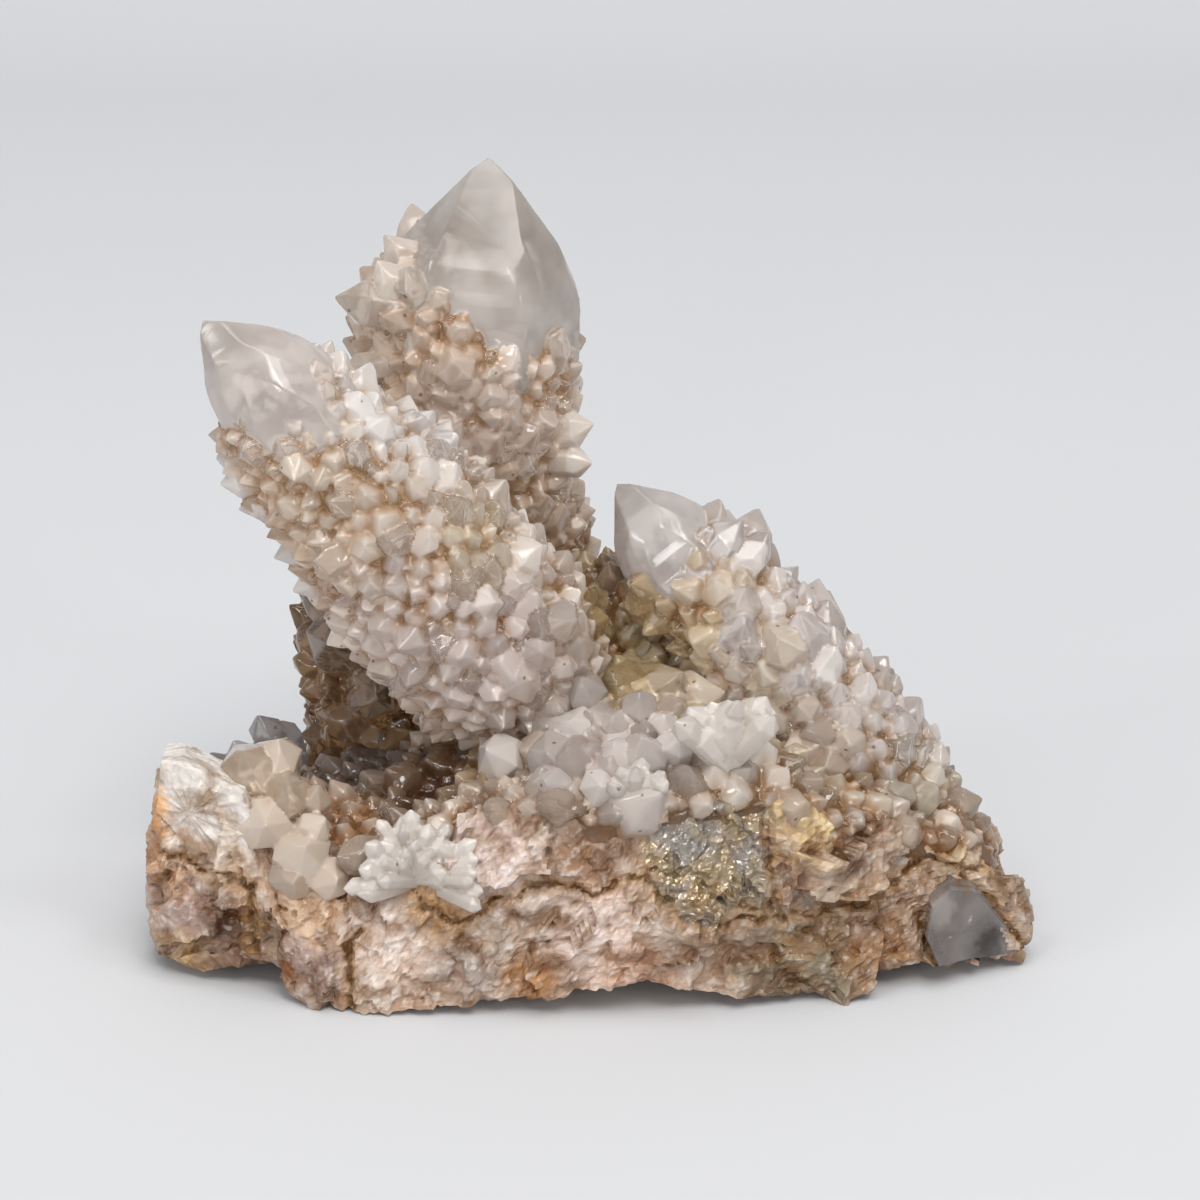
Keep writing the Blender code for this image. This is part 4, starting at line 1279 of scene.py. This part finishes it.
RIGHT_LONE = [
    ((12.9, -3.5, 37.4), (0.55, -0.1, 0.8), 3.6, 6.0),
    ((15.0, -4.0, 35.9), (0.6, -0.1, 0.75), 3.6, 6.0),
    ((13.0, -8.2, 30.0), (0.1, -0.85, 0.5), 4.6, 6.0),
    ((18.0, -9.2, 26.0), (0.2, -0.85, 0.5), 4.4, 6.0),
    ((21.0, -7.6, 27.6), (0.4, -0.5, 0.75), 4.2, 6.0),
]
grow_point("right", RIGHT_POINT, (0.62, 0.57, 0.54), (0.75, 0.67, 0.63), RIGHT_STAINS, {
    "spacing": 2.0, "width": 1.45, "wander": 0.34, "lean": 0.45, "sunk": 0.9, "seed": 41,
    "sizes": ([0, 12, 30], [0.9, 1.05, 1.1]), "grain": 0.17, "most": 130000,
}, RIGHT_LONE, (0.80, 0.74, 0.71))


# The rear point
# A short smoky point behind the others, dark partly with iron and partly with painted shade.
REAR_POINT = {
    "apex": (-22.7, 14.3, 34.6),
    "root": (-16.9, 10.7, 8.6),
    "core_axis": (-0.2, 0.12, 1.0),
    "flat": 0.95,
    "rings": [(0.0, 0.0, 6.6), (6.0, 0.0, 6.5), (11.0, 0.0, 6.2), (15.6, 0.0, 5.3), (20.0, 0.0, 3.2)],
    "core": [(3.5, 0.5), (3.4, 0.0), (3.6, 0.4), (3.4, 0.0), (3.6, 0.6), (3.4, 0.0)],
    "core_length": 12.0,
    "roll": 16.0,
    "bare": [],
}
REAR_LONE = [
    ((-22.4, 3.4, 24.0), (-0.2, -0.95, 0.2), 5.4, 6.0),
    ((-24.8, 5.6, 28.0), (-0.6, -0.7, 0.4), 3.6, 5.0),
    ((-18.6, 3.0, 19.4), (0.1, -1.0, 0.2), 4.4, 6.0),
]
REAR_STAINS_AND_SHADE = [((-18.0, 6.0, 20.0), 6.0, RUSTY_BROWN), ((-20.0, 4.0, 27.0), 5.0, (0.44, 0.25, 0.08))]
# The rear point's dark brown crust, tip and crystal colours are partly iron and partly painted shade.
grow_point("rear", REAR_POINT, (0.40, 0.31, 0.24), (0.32, 0.17, 0.06), REAR_STAINS_AND_SHADE, {
    "spacing": 2.0, "width": 1.5, "wander": 0.5, "lean": 0.4, "sunk": 0.7, "seed": 51,
    "sizes": ([0, 20], [1.0, 1.0]), "grain": 0.21, "most": 65000,
}, REAR_LONE, SMOKY)


# The valley
# A low ridge of yellow and brown crystals fills the hollow where the points meet.
VALLEY_MIDDLE = (3.2, 3.6, 24.5)
VALLEY_REACH = (6.0, 4.6, 7.6)
VALLEY_STAINS = [((2.0, 0.0, 32.0), 4.5, RUSTY_BROWN), ((5.0, -1.0, 26.0), 5.0, PALE_YELLOW)]

valley = bpy.data.meshes.new("valley_bed")
bm = bmesh.new()
bmesh.ops.create_icosphere(bm, subdivisions=4, radius=1.0)
bmesh.ops.scale(bm, vec=VALLEY_REACH, verts=bm.verts)
bmesh.ops.translate(bm, vec=VALLEY_MIDDLE, verts=bm.verts)
bm.to_mesh(valley)
bm.free()
valley_places = places_of(valley)
keep(valley, "grow", directions_of(valley) + (0.0, 0.0, 0.3))
keep(valley, "size", np.full(len(valley_places), 0.9))
keep(valley, "cover", (valley_places[:, 2] > 22.0).astype(float))
keep(valley, "tint", stained(valley_places, (0.74, 0.54, 0.24), VALLEY_STAINS))
valley_crust = crust_on(valley, {"spacing": 1.7, "width": 1.05, "wander": 0.6, "seed": 61})
finish_piece("valley", melt("valley", valley_crust, 0.2, 30000, valley), quartz_material)


for shapes in (worn_shapes, sharp_shapes):
    for shape in list(shapes.objects):
        bpy.data.objects.remove(shape)
    bpy.data.collections.remove(shapes)
